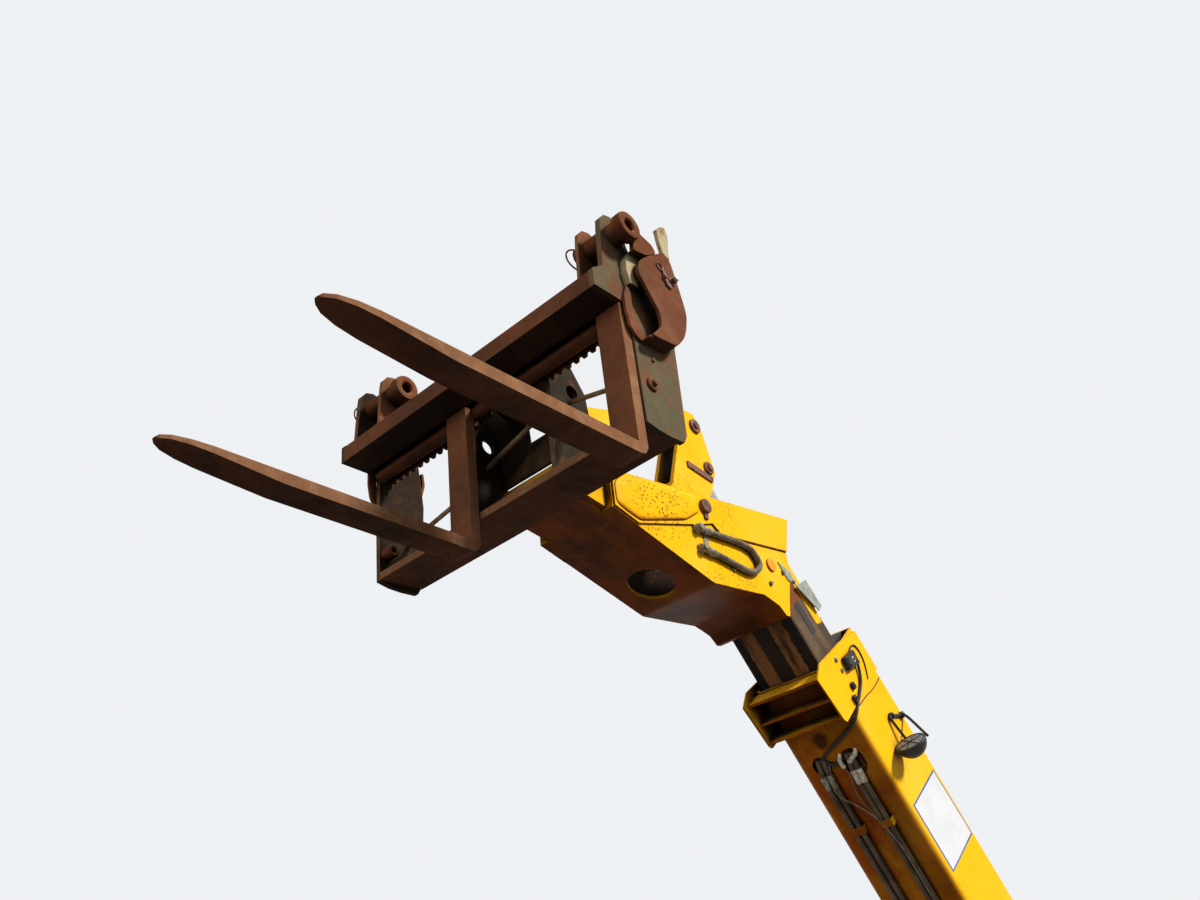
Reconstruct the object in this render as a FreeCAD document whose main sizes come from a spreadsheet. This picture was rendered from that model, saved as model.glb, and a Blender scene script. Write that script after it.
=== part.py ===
import FreeCAD, Part
import math
import os
import Sketcher

# Front end of a telescopic handler boom: outer boom, sliding inner boom with its
# gooseneck head, tilt lever and link, and a fork carriage with two forks.
# Lengths are millimetres and angles degrees. Row frame: the boom pivot's centre is
# the origin, +X points forwards, +Y to the machine's left and +Z up.

os.makedirs("parts", exist_ok=True)
doc = FreeCAD.newDocument("boom")
sheet = doc.addObject("Spreadsheet::Sheet", "dims")
V = FreeCAD.Vector

# alias, value, what it is
SIZES = [
    ("elevation", 41.7, "boom above the horizontal"),
    ("fork_droop", 9.0, "blades below the horizontal"),
    ("fork_origin_u", 4080, "fork frame's origin along the boom"),
    ("fork_origin_w", -1335, "fork frame's origin across the boom"),
    ("outer_half", 177, "outer boom's half width"),
    ("outer_low", 206, "outer boom's underside below its axis"),
    ("outer_top", 197, "outer boom's top above its axis"),
    ("outer_wall", 10, "outer boom's plate"),
    ("outer_tail", 120, "outer boom behind its pivot"),
    ("outer_front", 2900, "outer boom's mouth"),
    ("low_round", 48, "round of the outer boom's lower edges"),
    ("top_round", 16, "round of the outer boom's upper edges"),
    ("inner_half", 150, "inner boom's half width"),
    ("inner_bottom", -178, "inner boom's underside"),
    ("inner_top", 57, "inner boom's top"),
    ("inner_wall", 10, "inner boom's plate"),
    ("inner_tail", 350, "inner boom's rear end"),
    ("inner_front", 3300, "inner boom's front end"),
    ("collar_len", 210, "collar's length behind the mouth"),
    ("lug_gap", 100, "lift cylinder's lugs from the middle"),
    ("pivot_bore", 40, "radius of the boom pivot's bore"),
    ("pivot_tube", 72, "radius of the boom pivot's tube"),
    ("pivot_reach", 200, "half length of the pivot tube"),
    ("head_half", 178, "head's half width"),
    ("head_wall", 14, "head's plate"),
    ("nose_half", 150, "nose's half width"),
    ("nose_round", 58, "nose's boss"),
    ("hinge_pin", 32, "radius of the carriage's hinge pin"),
    ("lever_pin", 25, "radius of the lever's pins"),
    ("run_gap", 0.05, "running clearance of pins"),
    ("lever_half", 55, "lever's half width"),
    ("lever_plate", 18, "lever's plate"),
    ("link_half", 30, "link's half width"),
    ("barrel_round", 45, "tilt cylinder's barrel"),
    ("rod_round", 28, "tilt cylinder's rod"),
    ("frame_half", 654, "carriage's half width"),
    ("side_plate", 20, "carriage's side plate"),
    ("beam_front", 114, "top beam's front face"),
    ("beam_rear", -5, "top beam's rear face"),
    ("beam_low", 532, "top beam's underside"),
    ("beam_top", 597, "top beam's top"),
    ("bar_round", 25, "fork bar's radius"),
    ("bar_x", -52, "fork bar's place"),
    ("bar_z", 522, "fork bar's height"),
    ("fork_len", 1070, "blade's length"),
    ("fork_wide", 100, "fork's width"),
    ("fork_thick", 40, "fork's thickness"),
    ("fork_top", 526, "shank's top"),
    ("hitch_y", 206, "hitch plate's inner face"),
    ("hitch_plate", 20, "hitch plate's thickness"),
    ("fork_left_y", 598, "middle of the left fork"),
    ("fork_right_y", -137, "middle of the right fork"),
    ("barrel_ext", 42, "extension cylinder's barrel"),
    ("rod_ext", 30, "extension cylinder's rod"),
    ("ext_w", 105, "extension cylinder's axis above the boom's axis"),
    ("ext_eye", 3441, "extension rod's eye along the boom"),
    ("ext_pin", 15, "radius of the extension rod's pin"),
    ("fork_eye", 40, "fork's eye"),
    ("eye_half", 30, "half width of the fork's eye"),
    ("flag_z", 808, "height of the flag pins"),
    ("flag_round", 42, "flag pin's tube"),
    ("flag_head", 56, "flag pin's head"),
    ("rack_front", -98, "front face of the fork rack"),
    ("rack_plate", 12, "fork rack's plate"),
    ("rack_pitch", 38, "pitch of the rack's teeth"),
    ("rack_tooth", 16, "width of a tooth's tip"),
    ("rack_tip", 505, "height of the teeth's tips"),
    ("rack_root", 520, "height of the teeth's roots"),
    ("doubler", 8, "doubler plate on the head's side"),
    ("bottom_hole", 92, "radius of the opening under the head"),
    ("hose_round", 11, "hose's radius"),
    ("hose_drop", 228, "clipped hoses below the boom's axis"),
    ("hose_fall", 78, "length over which a hose comes down from its opening"),
    ("bulkhead", 700, "hose bulkhead along the boom"),
    ("strap_wide", 30, "width of a hose strap"),
    ("strap_thick", 3, "thickness of a hose strap"),
    ("lamp_u", 2425, "lamp's lens along the boom"),
    ("lamp_y", 247, "lamp's centre from the middle"),
    ("lamp_w", -26, "lamp's centre above the boom's axis"),
    ("lamp_round", 68, "lamp's radius"),
    ("lamp_deep", 64, "lamp's depth"),
    ("lamp_slope", 38, "slope round the lamp's back"),
    ("bracket_round", 8, "radius of the lamp's bent rod"),
    ("coupler_round", 17, "hose coupler's radius"),
]


class Size:
    """A length that carries its own expression, so that a sum stays bound to the sheet."""

    def __init__(self, text, value):
        self.text, self.value = text, float(value)

    def _join(self, other, sign, swap=False):
        o = other if isinstance(other, Size) else Size(repr(float(other)), other)
        a, b = (o, self) if swap else (self, o)
        v = {"+": a.value + b.value, "-": a.value - b.value, "*": a.value * b.value}[sign]
        return Size("(%s %s %s)" % (a.text, sign, b.text), v)

    def __add__(self, other): return self._join(other, "+")
    def __radd__(self, other): return self._join(other, "+", True)
    def __sub__(self, other): return self._join(other, "-")
    def __rsub__(self, other): return self._join(other, "-", True)
    def __mul__(self, other): return self._join(other, "*")
    def __rmul__(self, other): return self._join(other, "*", True)
    def __neg__(self): return 0 - self


class Sizes:
    pass


D = Sizes()
row = 0


def cell(alias, value, note=""):
    """Write one named size into the sheet and return it."""
    global row
    row += 1
    sheet.set("A%d" % row, str(value))
    sheet.setAlias("A%d" % row, alias)
    if note:
        sheet.set("B%d" % row, note)
    return Size("dims." + alias, value)


for alias, value, note in SIZES:
    setattr(D, alias, cell(alias, value, note))


def sized(alias, v):
    """A size as it is, or a plain number written into the sheet under an alias."""
    return v if isinstance(v, Size) else cell(alias, v)


def outline(name, points):
    """Write an outline's corners into the sheet and return them as sizes."""
    return [(sized("%s_a%d" % (name, i), a), sized("%s_b%d" % (name, i), b))
            for i, (a, b) in enumerate(points, 1)]


def num(v):
    return v.value if isinstance(v, Size) else float(v)


def bind(obj, prop, v):
    if isinstance(v, Size):
        obj.setExpression(prop, v.text)


def turn(angle, a, b):
    """Turn a point of a side view by an angle, from +a towards +b."""
    c, s = math.cos(math.radians(angle)), math.sin(math.radians(angle))
    return a * c - b * s, a * s + b * c


ELEV, DROOP = D.elevation.value, D.fork_droop.value
ORIGIN = turn(ELEV, D.fork_origin_u.value, D.fork_origin_w.value)
BOOM = FreeCAD.Placement(V(0, 0, 0), FreeCAD.Rotation(V(0, 1, 0), -ELEV))
FORK = FreeCAD.Placement(V(ORIGIN[0], 0, ORIGIN[1]), FreeCAD.Rotation(V(0, 1, 0), DROOP))


def to_boom(points):
    """Side-view points given from the forks' heel, in the boom's own side view."""
    out = []
    for x, z in points:
        a, b = turn(-(ELEV + DROOP), x, z)
        out.append((round(D.fork_origin_u.value + a, 4), round(D.fork_origin_w.value + b, 4)))
    return out


PLANES = {"XY": (0, 1, 2, 1), "XZ": (0, 2, 1, -1), "YZ": (1, 2, 0, 1)}


class Piece:
    """A body built of pads and pockets, each between two coordinates along its plane's normal."""

    def __init__(self, label, place, solids=1):
        self.body = doc.addObject("PartDesign::Body", label)
        self.body.Label = label
        self.body.AllowCompound = True
        self.place = place
        self.solids = solids
        self.count = 0
        pieces.append(self)

    def _sketch(self, plane, lo, hi, loops, tilt=0.0, at=(0, 0, 0)):
        self.count += 1
        sk = self.body.newObject("Sketcher::SketchObject", "%s_s%d" % (self.body.Name, self.count))
        base = [o for o in self.body.Origin.OriginFeatures if o.Role == plane + "_Plane"][0]
        sk.AttachmentSupport = [(base, "")]
        sk.MapMode = "FlatFace"
        if tilt or any(at):
            sk.AttachmentOffset = FreeCAD.Placement(V(*at), FreeCAD.Rotation(V(0, 1, 0), tilt))
        else:
            sign = PLANES[plane][3]
            start = lo if sign > 0 else -1 * hi
            sk.AttachmentOffset = FreeCAD.Placement(V(0, 0, num(start)), FreeCAD.Rotation())
            bind(sk, "AttachmentOffset.Base.z", start)
        for n, loop in enumerate(loops):
            name = "%s_%d_%s" % (self.body.Name, self.count, "abcd"[n])
            if loop[0] == "circle":
                self._circle(sk, *[sized(name + "_" + part, v)
                                   for part, v in zip(("a", "b", "r"), loop[1:])])
            else:
                self._polygon(sk, outline(name, loop))
        return sk

    def _fix(self, sk, geo, pos, a, b):
        for kind, v in (("DistanceX", a), ("DistanceY", b)):
            i = sk.addConstraint(Sketcher.Constraint(kind, -1, 1, geo, pos, num(v)))
            if isinstance(v, Size):
                sk.setExpression("Constraints[%d]" % i, v.text)

    def _circle(self, sk, a, b, r):
        g = sk.addGeometry(Part.Circle(V(num(a), num(b), 0), V(0, 0, 1), num(r)))
        self._fix(sk, g, 3, a, b)
        i = sk.addConstraint(Sketcher.Constraint("Radius", g, num(r)))
        if isinstance(r, Size):
            sk.setExpression("Constraints[%d]" % i, r.text)

    def _polygon(self, sk, pts):
        n = len(pts)
        ids = []
        for i in range(n):
            p, q = pts[i], pts[(i + 1) % n]
            ids.append(sk.addGeometry(Part.LineSegment(V(num(p[0]), num(p[1]), 0),
                                                       V(num(q[0]), num(q[1]), 0))))
        for i in range(n):
            sk.addConstraint(Sketcher.Constraint("Coincident", ids[i], 2, ids[(i + 1) % n], 1))
        for i in range(n):
            self._fix(sk, ids[i], 1, *pts[i])

    def _ends(self, lo, hi):
        name = "%s_%d" % (self.body.Name, self.count + 1)
        return sized(name + "_from", lo), sized(name + "_to", hi)

    def add(self, plane, lo, hi, *loops, **more):
        lo, hi = self._ends(lo, hi)
        sk = self._sketch(plane, lo, hi, loops, **more)
        pad = self.body.newObject("PartDesign::Pad", "%s_p%d" % (self.body.Name, self.count))
        pad.Profile = sk
        pad.Length = num(hi) - num(lo)
        bind(pad, "Length", hi - lo)
        self.body.Tip = pad
        return self

    def cut(self, plane, lo, hi, *loops, **more):
        lo, hi = self._ends(lo, hi)
        sk = self._sketch(plane, lo, hi, loops, **more)
        pocket = self.body.newObject("PartDesign::Pocket", "%s_c%d" % (self.body.Name, self.count))
        pocket.Profile = sk
        pocket.Reversed = True
        pocket.Length = num(hi) - num(lo)
        bind(pocket, "Length", hi - lo)
        self.body.Tip = pocket
        return self

    def round(self, axis, spots, radius):
        """Round the straight edges along an axis that pass through the given spots."""
        doc.recompute()
        tip = self.body.Tip
        i, j = [k for k in range(3) if k != axis]
        names = []
        for n, e in enumerate(tip.Shape.Edges, 1):
            if e.Curve.TypeId != "Part::GeomLine":
                continue
            p, q = e.Vertexes[0].Point, e.Vertexes[-1].Point
            if abs(p[i] - q[i]) > 1e-3 or abs(p[j] - q[j]) > 1e-3:
                continue
            if any(math.hypot(p[i] - num(s[0]), p[j] - num(s[1])) < 0.5 for s in spots):
                names.append("Edge%d" % n)
        self.count += 1
        f = self.body.newObject("PartDesign::Fillet", "%s_f%d" % (self.body.Name, self.count))
        f.Base = (tip, names)
        f.Radius = num(radius)
        bind(f, "Radius", radius)
        self.body.Tip = f
        return self

    def bevel(self, axis, at, size):
        """Chamfer the edges that lie at one coordinate along an axis."""
        doc.recompute()
        tip = self.body.Tip
        names = ["Edge%d" % n for n, e in enumerate(tip.Shape.Edges, 1)
                 if all(abs(v.Point[axis] - num(at)) < 1e-3 for v in e.Vertexes)]
        self.count += 1
        f = self.body.newObject("PartDesign::Chamfer", "%s_b%d" % (self.body.Name, self.count))
        f.Base = (tip, names)
        f.Size = num(size)
        bind(f, "Size", size)
        self.body.Tip = f
        return self


class Tube:
    """Eight-sided tubes of straight runs with a tangent arc at each bend, in flat facets."""

    FACET = 15

    def __init__(self, label, place, radius, routes):
        self.body = doc.addObject("Part::Feature", label)
        self.body.Label = label
        self.place = place
        self.solids = len(routes)
        tubes = [self._tube(num(radius), self._path(label, route)) for route in routes]
        self.body.Shape = tubes[0] if len(tubes) == 1 else Part.makeCompound(tubes)
        pieces.append(self)

    def _path(self, label, route):
        spots = [V(*[num(c) for c in spot]) for spot in route]
        path = spots[:1]
        bends = []
        for a, b, c in zip(spots, spots[1:], spots[2:]):
            into = (b - a).normalize()
            out = (c - b).normalize()
            turned = into.getAngle(out)
            trim = 0.45 * min((b - a).Length, (c - b).Length)
            bend = trim / math.tan(turned / 2)
            centre = b + (out - into).normalize() * (bend / math.cos(turned / 2))
            start = b - into * trim - centre
            steps = max(2, math.ceil(math.degrees(turned) / self.FACET))
            for k in range(steps + 1):
                spin = FreeCAD.Rotation(into.cross(out), math.degrees(turned) * k / steps)
                path.append(centre + spin.multVec(start))
            bends.append(round(bend))
        print(label, "bend radii", bends)
        return path + spots[-1:]

    def _tube(self, radius, path):
        ahead = (path[1] - path[0]).normalize()
        up = ahead.cross(V(0, 1, 0)).normalize()
        aside = up.cross(ahead)
        loops = [[path[0] + aside * (radius * math.cos(k * math.pi / 4))
                  + up * (radius * math.sin(k * math.pi / 4)) for k in range(8)]]
        for n in range(1, len(path)):
            ahead = (path[n] - path[n - 1]).normalize()
            across = ahead
            if n + 1 < len(path):
                across = ahead + (path[n + 1] - path[n]).normalize()
            loops.append([c + ahead * ((path[n] - c).dot(across) / ahead.dot(across))
                          for c in loops[-1]])
        rings = [loops[0], loops[-1]]
        for low, high in zip(loops, loops[1:]):
            rings += [[low[k - 1], low[k], high[k], high[k - 1]] for k in range(8)]
        faces = [Part.Face(Part.makePolygon(ring + ring[:1])) for ring in rings]
        tube = Part.Solid(Part.Shell(faces))
        if tube.Volume < 0:
            tube.reverse()
        return tube


pieces = []


def box(a0, a1, b0, b1):
    return [(a0, b0), (a1, b0), (a1, b1), (a0, b1)]


def many_sided(a, b, radius, sides, stretch=0):
    """A regular outline with its centre at a, b, drawn out along a by a stretch if one is given."""
    out = []
    for k in range(sides):
        turned = 2 * math.pi * (k + 0.5) / sides
        push = stretch if math.cos(turned) > 0 else 0
        out.append((a + radius * math.cos(turned) + push, b + radius * math.sin(turned)))
    return out


def mirror(lo, hi, side):
    """A range on the left side, or its mirror image on the right."""
    return (lo, hi) if side > 0 else (-1 * hi, -1 * lo)


SIDES = (("left", 1), ("right", -1))

# OUTER BOOM
oh, ol, ot, ow = D.outer_half, D.outer_low, D.outer_top, D.outer_wall
mouth, hem = D.outer_front, D.collar_len
outer = Piece("outer_boom", BOOM)
outer.add("YZ", -1 * D.outer_tail, mouth, box(-1 * oh, oh, -1 * ol, ot))
outer.round(0, [(oh, -1 * ol), (-1 * oh, -1 * ol)], D.low_round)
outer.round(0, [(oh, ot), (-1 * oh, ot)], D.top_round)
outer.cut("YZ", ow - D.outer_tail, mouth,
          [(ow - oh, 36 - ol), (36 - oh, ow - ol), (oh - 36, ow - ol), (oh - ow, 36 - ol),
           (oh - ow, ot - ow), (ow - oh, ot - ow)])
outer.add("XZ", -1 * D.pivot_reach, D.pivot_reach, ("circle", 0, 0, D.pivot_tube))
outer.cut("XZ", -1 * D.pivot_reach, D.pivot_reach, ("circle", 0, 0, D.pivot_bore))
lift_lug = [(1180, 5 - ol), (1520, 5 - ol), (1405, -362), (1295, -362)]
level_lug = [(340, 5 - ol), (500, 5 - ol), (450, -285), (390, -285)]
collar = [(mouth - hem, 190), (mouth - hem, -282), (mouth - hem + 17, -295), (mouth + 2, -316),
          (mouth + 33, -234), (mouth + 11, 15), (mouth - 21, 190)]
for name, side in SIDES:
    lo, hi = mirror(oh, oh + 8, side)
    outer.add("XZ", lo, hi, collar)
    lo, hi = mirror(D.lug_gap, D.lug_gap + 25, side)
    outer.add("XZ", lo, hi, lift_lug)
    outer.cut("XZ", lo, hi, ("circle", 1350, -315, 30))
    lo, hi = mirror(34, 54, side)
    outer.add("XZ", lo, hi, level_lug)
    outer.cut("XZ", lo, hi, ("circle", 420, -258, 20))
for back, thick, low in ((194, 12, -287), (112, 10, -278), (18, 12, -287)):
    outer.add("YZ", mouth - back, mouth - back + thick, box(-1 * oh, oh, low, 5 - ol))
outer.add("YZ", D.bulkhead, D.bulkhead + 10, box(-108, 108, -262, 5 - ol))
# openings where the hoses leave the boom
for u, y, r, stretch in ((2485, 76, 49, 25), (2519, -66, 42, 0)):
    outer.cut("XY", -1 * ol - 5, 30 - ol, many_sided(u, y, r, 16, stretch))

# hoses clipped under the boom: where each comes out, and where it runs
hoses = (("left", ((2534, 76, 85), (2534, 56, 60))), ("right", ((2545, -52, -48), (2545, -78, -79))))
for name, pair in hoses:
    Tube("hoses_" + name, BOOM, D.hose_round,
         [[(start, out_y, -196), (start - 1 * D.hose_fall, y, -1 * D.hose_drop),
           (D.bulkhead + 10.3, y, -1 * D.hose_drop)] for start, out_y, y in pair])
straps = Piece("hose_clamps", BOOM, 6)
st = D.strap_thick
strap_low = D.hose_drop + D.hose_round + 0.3
for u in (2210, 1750, 1000):
    for inner_y, outer_y, tab_inner, tab_outer in ((45, 101, 34, 122), (-91, -33, -126, 0)):
        straps.add("YZ", u, u + D.strap_wide,
                   [(tab_inner, -1 * ol), (tab_inner, -1 * ol - st), (inner_y - st, -1 * ol - st),
                    (inner_y - st, -1 * strap_low - st), (outer_y + st, -1 * strap_low - st),
                    (outer_y + st, -1 * ol - st), (tab_outer, -1 * ol - st), (tab_outer, -1 * ol),
                    (outer_y, -1 * ol), (outer_y, -1 * strap_low), (inner_y, -1 * strap_low),
                    (inner_y, -1 * ol)])

Piece("sensor_block", BOOM).add("XZ", oh + 8, oh + 30, [(2810, -66), (2863, -57), (2851, 42), (2790, 36)])

# work lamp on its bent rod
lamp = Piece("work_lamp", BOOM)
lamp.add("YZ", D.lamp_u - D.lamp_deep, D.lamp_u, many_sided(D.lamp_y, D.lamp_w, D.lamp_round, 20))
lamp.bevel(0, D.lamp_u - D.lamp_deep, D.lamp_slope)
rim_reach = D.lamp_round + D.bracket_round - 0.6
stand_off = oh + D.bracket_round + 0.3
Tube("lamp_bracket", BOOM, D.bracket_round,
     [[(D.lamp_u - 13, D.lamp_y + 0.843 * rim_reach, D.lamp_w + 0.539 * rim_reach), (2459, stand_off, 188),
       (2528, stand_off, 52), (D.lamp_u - 13, D.lamp_y - 0.524 * rim_reach, D.lamp_w + 0.852 * rim_reach)]])

pads = (("wear_pad_lower", -130, 130, ow - ol, D.inner_bottom - 1),
        ("wear_pad_upper_left", 80, 130, D.inner_top + 1, ot - ow),
        ("wear_pad_upper_right", -130, -80, D.inner_top + 1, ot - ow),
        ("wear_pad_side_left", D.inner_half + 1, oh - ow, -120, 0),
        ("wear_pad_side_right", ow - oh, -1 - D.inner_half, -120, 0))
for label, y0, y1, w0, w1 in pads:
    Piece(label, BOOM).add("YZ", D.outer_front - 100, D.outer_front, box(y0, y1, w0, w1))

ext = Piece("extension_barrel", BOOM)
ext.add("YZ", 330, 2650, ("circle", 0, D.ext_w, D.barrel_ext))
ext.add("XZ", -40, 40, box(238, 340, D.ext_w - 36, D.ext_w + 36))
ext.cut("YZ", 370, 2650, ("circle", 0, D.ext_w, D.rod_ext + D.run_gap))
ext.cut("XZ", -40, 40, ("circle", 280, D.ext_w, 25))
Piece("extension_pin", BOOM).add("XZ", ow - oh, oh - ow, ("circle", 280, D.ext_w, 25))

ext_rod = Piece("extension_rod", BOOM)
ext_rod.add("YZ", 640, D.ext_eye - 20, ("circle", 0, D.ext_w, D.rod_ext))
ext_rod.add("XZ", -28, 28, ("circle", D.ext_eye, D.ext_w, D.ext_pin + 11))
ext_rod.cut("XZ", -30, 30, ("circle", D.ext_eye, D.ext_w, D.ext_pin))
Piece("extension_eye_pin", BOOM).add("XZ", D.head_wall - D.head_half, D.head_half - D.head_wall,
                                     ("circle", D.ext_eye, D.ext_w, D.ext_pin))

# INNER BOOM
ih, iw = D.inner_half, D.inner_wall
inner = Piece("inner_boom", BOOM)
inner.add("YZ", D.inner_tail, D.inner_front, box(-1 * ih, ih, D.inner_bottom, D.inner_top))
inner.round(0, [(ih, D.inner_bottom), (-1 * ih, D.inner_bottom), (ih, D.inner_top),
                (-1 * ih, D.inner_top)], 14)
inner.cut("YZ", D.inner_tail, D.inner_front,
          box(iw - ih, ih - iw, D.inner_bottom + iw, D.inner_top - iw))

# HEAD
HINGE = outline("hinge", to_boom([(-262, 235)]))[0]
LEVER = outline("lever_pivot", to_boom([(-964, 319)]))[0]
head = Piece("boom_head", BOOM)
hh, hw = D.head_half, D.head_wall
shape = [(3925, -919), (4006, -849), (4006, -754), (3440, 190), (3338, 20), (3281, -23),
         (3198, -159), (3152, -226), (3165, -247), (3216, -257), (3258, -288), (3293, -316),
         (3341, -392), (3472, -597)]
head.add("XZ", -1 * hh, hh, shape)
head.round(1, [(3472, -597)], 70)
inside = [(3924, -900), (3992, -841), (3992, -758), (3440, 162), (3400, 90), (3100, 90),
          (3100, -178), (3202, -178), (3166, -231), (3169, -234), (3221, -244), (3266, -277),
          (3303, -306), (3353, -384), (3481, -585)]
head.cut("XZ", hw - hh, hh - hw, inside)
nose = [(3910, -894), (4055, -1024), (4137, -942), (3998, -775), (3960, -800)]
nose_web = [(3925, -919), (4055, -1024), (4066, -1013), (3936, -908)]
doubler = [(3822, -838), (3925, -911), (4000, -847), (4000, -756), (3440, 178), (3347, 24),
           (3591, -378), (3646, -393), (3682, -497)]
for name, side in SIDES:
    lo, hi = mirror(ih, hh - hw, side)
    head.add("XZ", lo, hi, [(3210, -172), (3330, -172), (3385, 52), (3364, 52), (3338, 12), (3298, -16)])
    lo, hi = mirror(D.nose_half - 24, D.nose_half, side)
    head.add("XZ", lo, hi, nose)
    lo, hi = mirror(hh, hh + D.doubler, side)
    head.add("XZ", lo, hi, doubler)
head.add("XZ", 24 - D.nose_half, D.nose_half - 24, nose_web)
head.add("XZ", -1 * D.nose_half, D.nose_half, ("circle", HINGE[0], HINGE[1], D.nose_round))
head.cut("XZ", -1 * D.nose_half, D.nose_half, ("circle", HINGE[0], HINGE[1], D.hinge_pin + D.run_gap))
head.cut("XZ", -1 * hh - D.doubler, hh + D.doubler, ("circle", LEVER[0], LEVER[1], D.lever_pin + 5))
head.cut("XZ", -120, 120, [(3873, -571), (3916, -546), (3496, 155), (3453, 130)])
head.cut("YZ", 3330, 3450, box(-36, 36, D.ext_w - 40, D.ext_w + 40))
head.cut("XY", 0, 60, ("circle", 0, 0, D.bottom_hole), tilt=35.4, at=(3569.6, -13, -692.4))

# bent guard sheets, hose couplers and their jumper hose on the head's left side
guards = Piece("guard_plates", BOOM, 2)
guards.add("XZ", hh, hh + 4, [(3344, -84), (3276, -38), (3214, -49), (3261, -90)])
guards.add("XZ", ih + 13, ih + 17, [(3208, -24), (3193, 75), (3064, 79), (3058, 39)])
guards.add("YZ", 3075, 3180, box(ih - 40, ih + 13, D.inner_top, D.inner_top + 4))
couplers = Piece("couplers", BOOM, 2)
first = (3671, -515)
second = (3602, -560)
for u, w in (first, second):
    couplers.add("XZ", hh, hh + 28, many_sided(u, w, D.coupler_round, 12))
lead = D.coupler_round + 0.2
Tube("coupler_hose", BOOM, D.hose_round,
     [[(first[0] - 0.591 * lead, hh + 14, first[1] + 0.807 * lead), (3478, hh + 14, -251),
       (3387, hh + 14, -251), (3398, hh + 14, -341),
       (second[0] - 0.681 * lead, hh + 14, second[1] + 0.732 * lead)]])
Piece("hinge_pin", FORK).add("XZ", -230, 230, ("circle", -262, 235, D.hinge_pin))
Piece("lever_pin", BOOM).add("XZ", -1 * hh - 22, hh + 22, ("circle", LEVER[0], LEVER[1], D.lever_pin + 5))

# TILT LEVER, LINK AND CYLINDER
TOP, ARM, FRONT = outline("linkage", to_boom([(-1195, 858), (-1242, 662), (-215, 560)]))
lever = Piece("tilt_lever", BOOM)
lever_shape = to_boom([(-915, 290), (-930, 440), (-970, 490), (-1120, 900), (-1150, 925),
                       (-1200, 925), (-1240, 880), (-1292, 660), (-1240, 540), (-1010, 275),
                       (-964, 262)])
lh, lp = D.lever_half, D.lever_plate
for name, side in SIDES:
    lo, hi = mirror(lh - lp, lh, side)
    lever.add("XZ", lo, hi, lever_shape)
lever.add("XZ", -1 * lh, lh, to_boom([(-930, 440), (-955, 430), (-990, 520), (-970, 490)]))
lever.add("XZ", hw - hh + 4, hh - hw - 4, ("circle", LEVER[0], LEVER[1], 40))
lever.cut("XZ", -200, 200, ("circle", LEVER[0], LEVER[1], D.lever_pin + 5 + D.run_gap))
link = Piece("tilt_link", BOOM)
link_line = to_boom([(-1170, 812), (-1170, 888), (-240, 600), (-240, 520)])
link.add("XZ", -1 * D.link_half, D.link_half, link_line)
for spot in (TOP, FRONT):
    link.add("XZ", -1 * D.link_half, D.link_half, ("circle", spot[0], spot[1], 46))
link.cut("XZ", -60, 60, ("circle", FRONT[0], FRONT[1], D.lever_pin + D.run_gap))

ANCHOR = outline("anchor", [(2750, -95)])[0]
run, rise = num(ARM[0] - ANCHOR[0]), num(ARM[1] - ANCHOR[1])
REACH = cell("tilt_reach", round(math.hypot(run, rise), 4), "tilt cylinder, pin to pin")
LEAN = math.degrees(math.atan2(rise, run))
away = turn(ELEV, num(ANCHOR[0]), num(ANCHOR[1]))
CYL = FreeCAD.Placement(V(away[0], 0, away[1]), FreeCAD.Rotation(V(0, 1, 0), -(ELEV + LEAN)))
barrel = Piece("tilt_barrel", CYL)
barrel.add("YZ", 30, 520, ("circle", 0, 0, D.barrel_round))
barrel.add("XZ", -40, 40, many_sided(0, 0, 50, 12))
barrel.cut("YZ", 80, 520, ("circle", 0, 0, D.rod_round + D.run_gap))
barrel.cut("XZ", -60, 60, ("circle", 0, 0, D.lever_pin + D.run_gap))
rod = Piece("tilt_rod", CYL)
rod.add("YZ", 240, REACH - 30, ("circle", 0, 0, D.rod_round))
rod.add("XZ", -30, 30, many_sided(REACH, 0, 46, 16))
Piece("tilt_anchor_pin", BOOM).add("XZ", iw - ih, ih - iw, ("circle", ANCHOR[0], ANCHOR[1], D.lever_pin))

# FORK CARRIAGE
fh, sp = D.frame_half, D.side_plate


def ear_top(middle):
    """The rounded top of an ear that holds a flag pin at a height."""
    return [(48, middle), (42, middle + 50), (18, middle + 80), (-15, middle + 90),
            (-48, middle + 80), (-72, middle + 50), (-78, middle)]


carriage_side = ([(-48, 86), (-46, 259), (-46, 528), (-5, 532), (114, 532), (114, 600), (60, 640)]
                 + ear_top(D.flag_z)
                 + [(-90, 774), (-180, 760), (-232, 674), (-258, 457), (-240, 110), (-222, 78),
                    (-152, 74), (-100, 76)])
for name, side in SIDES:
    p = Piece("side_plate_" + name, FORK)
    lo, hi = mirror(fh - sp, fh, side)
    p.add("XZ", lo, hi, carriage_side, ("circle", -15, D.flag_z, D.flag_round + D.run_gap))
beam = Piece("top_beam", FORK)
beam.add("XZ", sp - fh, fh - sp, box(D.beam_rear, D.beam_front, D.beam_low, D.beam_top))
beam.cut("XZ", sp - fh, fh - sp, box(D.beam_rear + 10, D.beam_front - 10, D.beam_low + 10,
                                     D.beam_top - 10))
Piece("bottom_plate", FORK).add("XZ", sp - fh, fh - sp,
                                [(-45, 88), (-45, 116), (-240, 130), (-240, 102)])
Piece("fork_bar", FORK).add("XZ", sp - fh, fh - sp, ("circle", D.bar_x, D.bar_z, D.bar_round))

hitch_side = [(-200, 127.3), (-285, 190), (-320, 235), (-305, 290), (-300, 400), (-286, 525), (-211, 641),
              (-5, 597), (-5, 572), (-100, 572), (-110, 480), (-100, 300), (-100, 120.1)]
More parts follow.
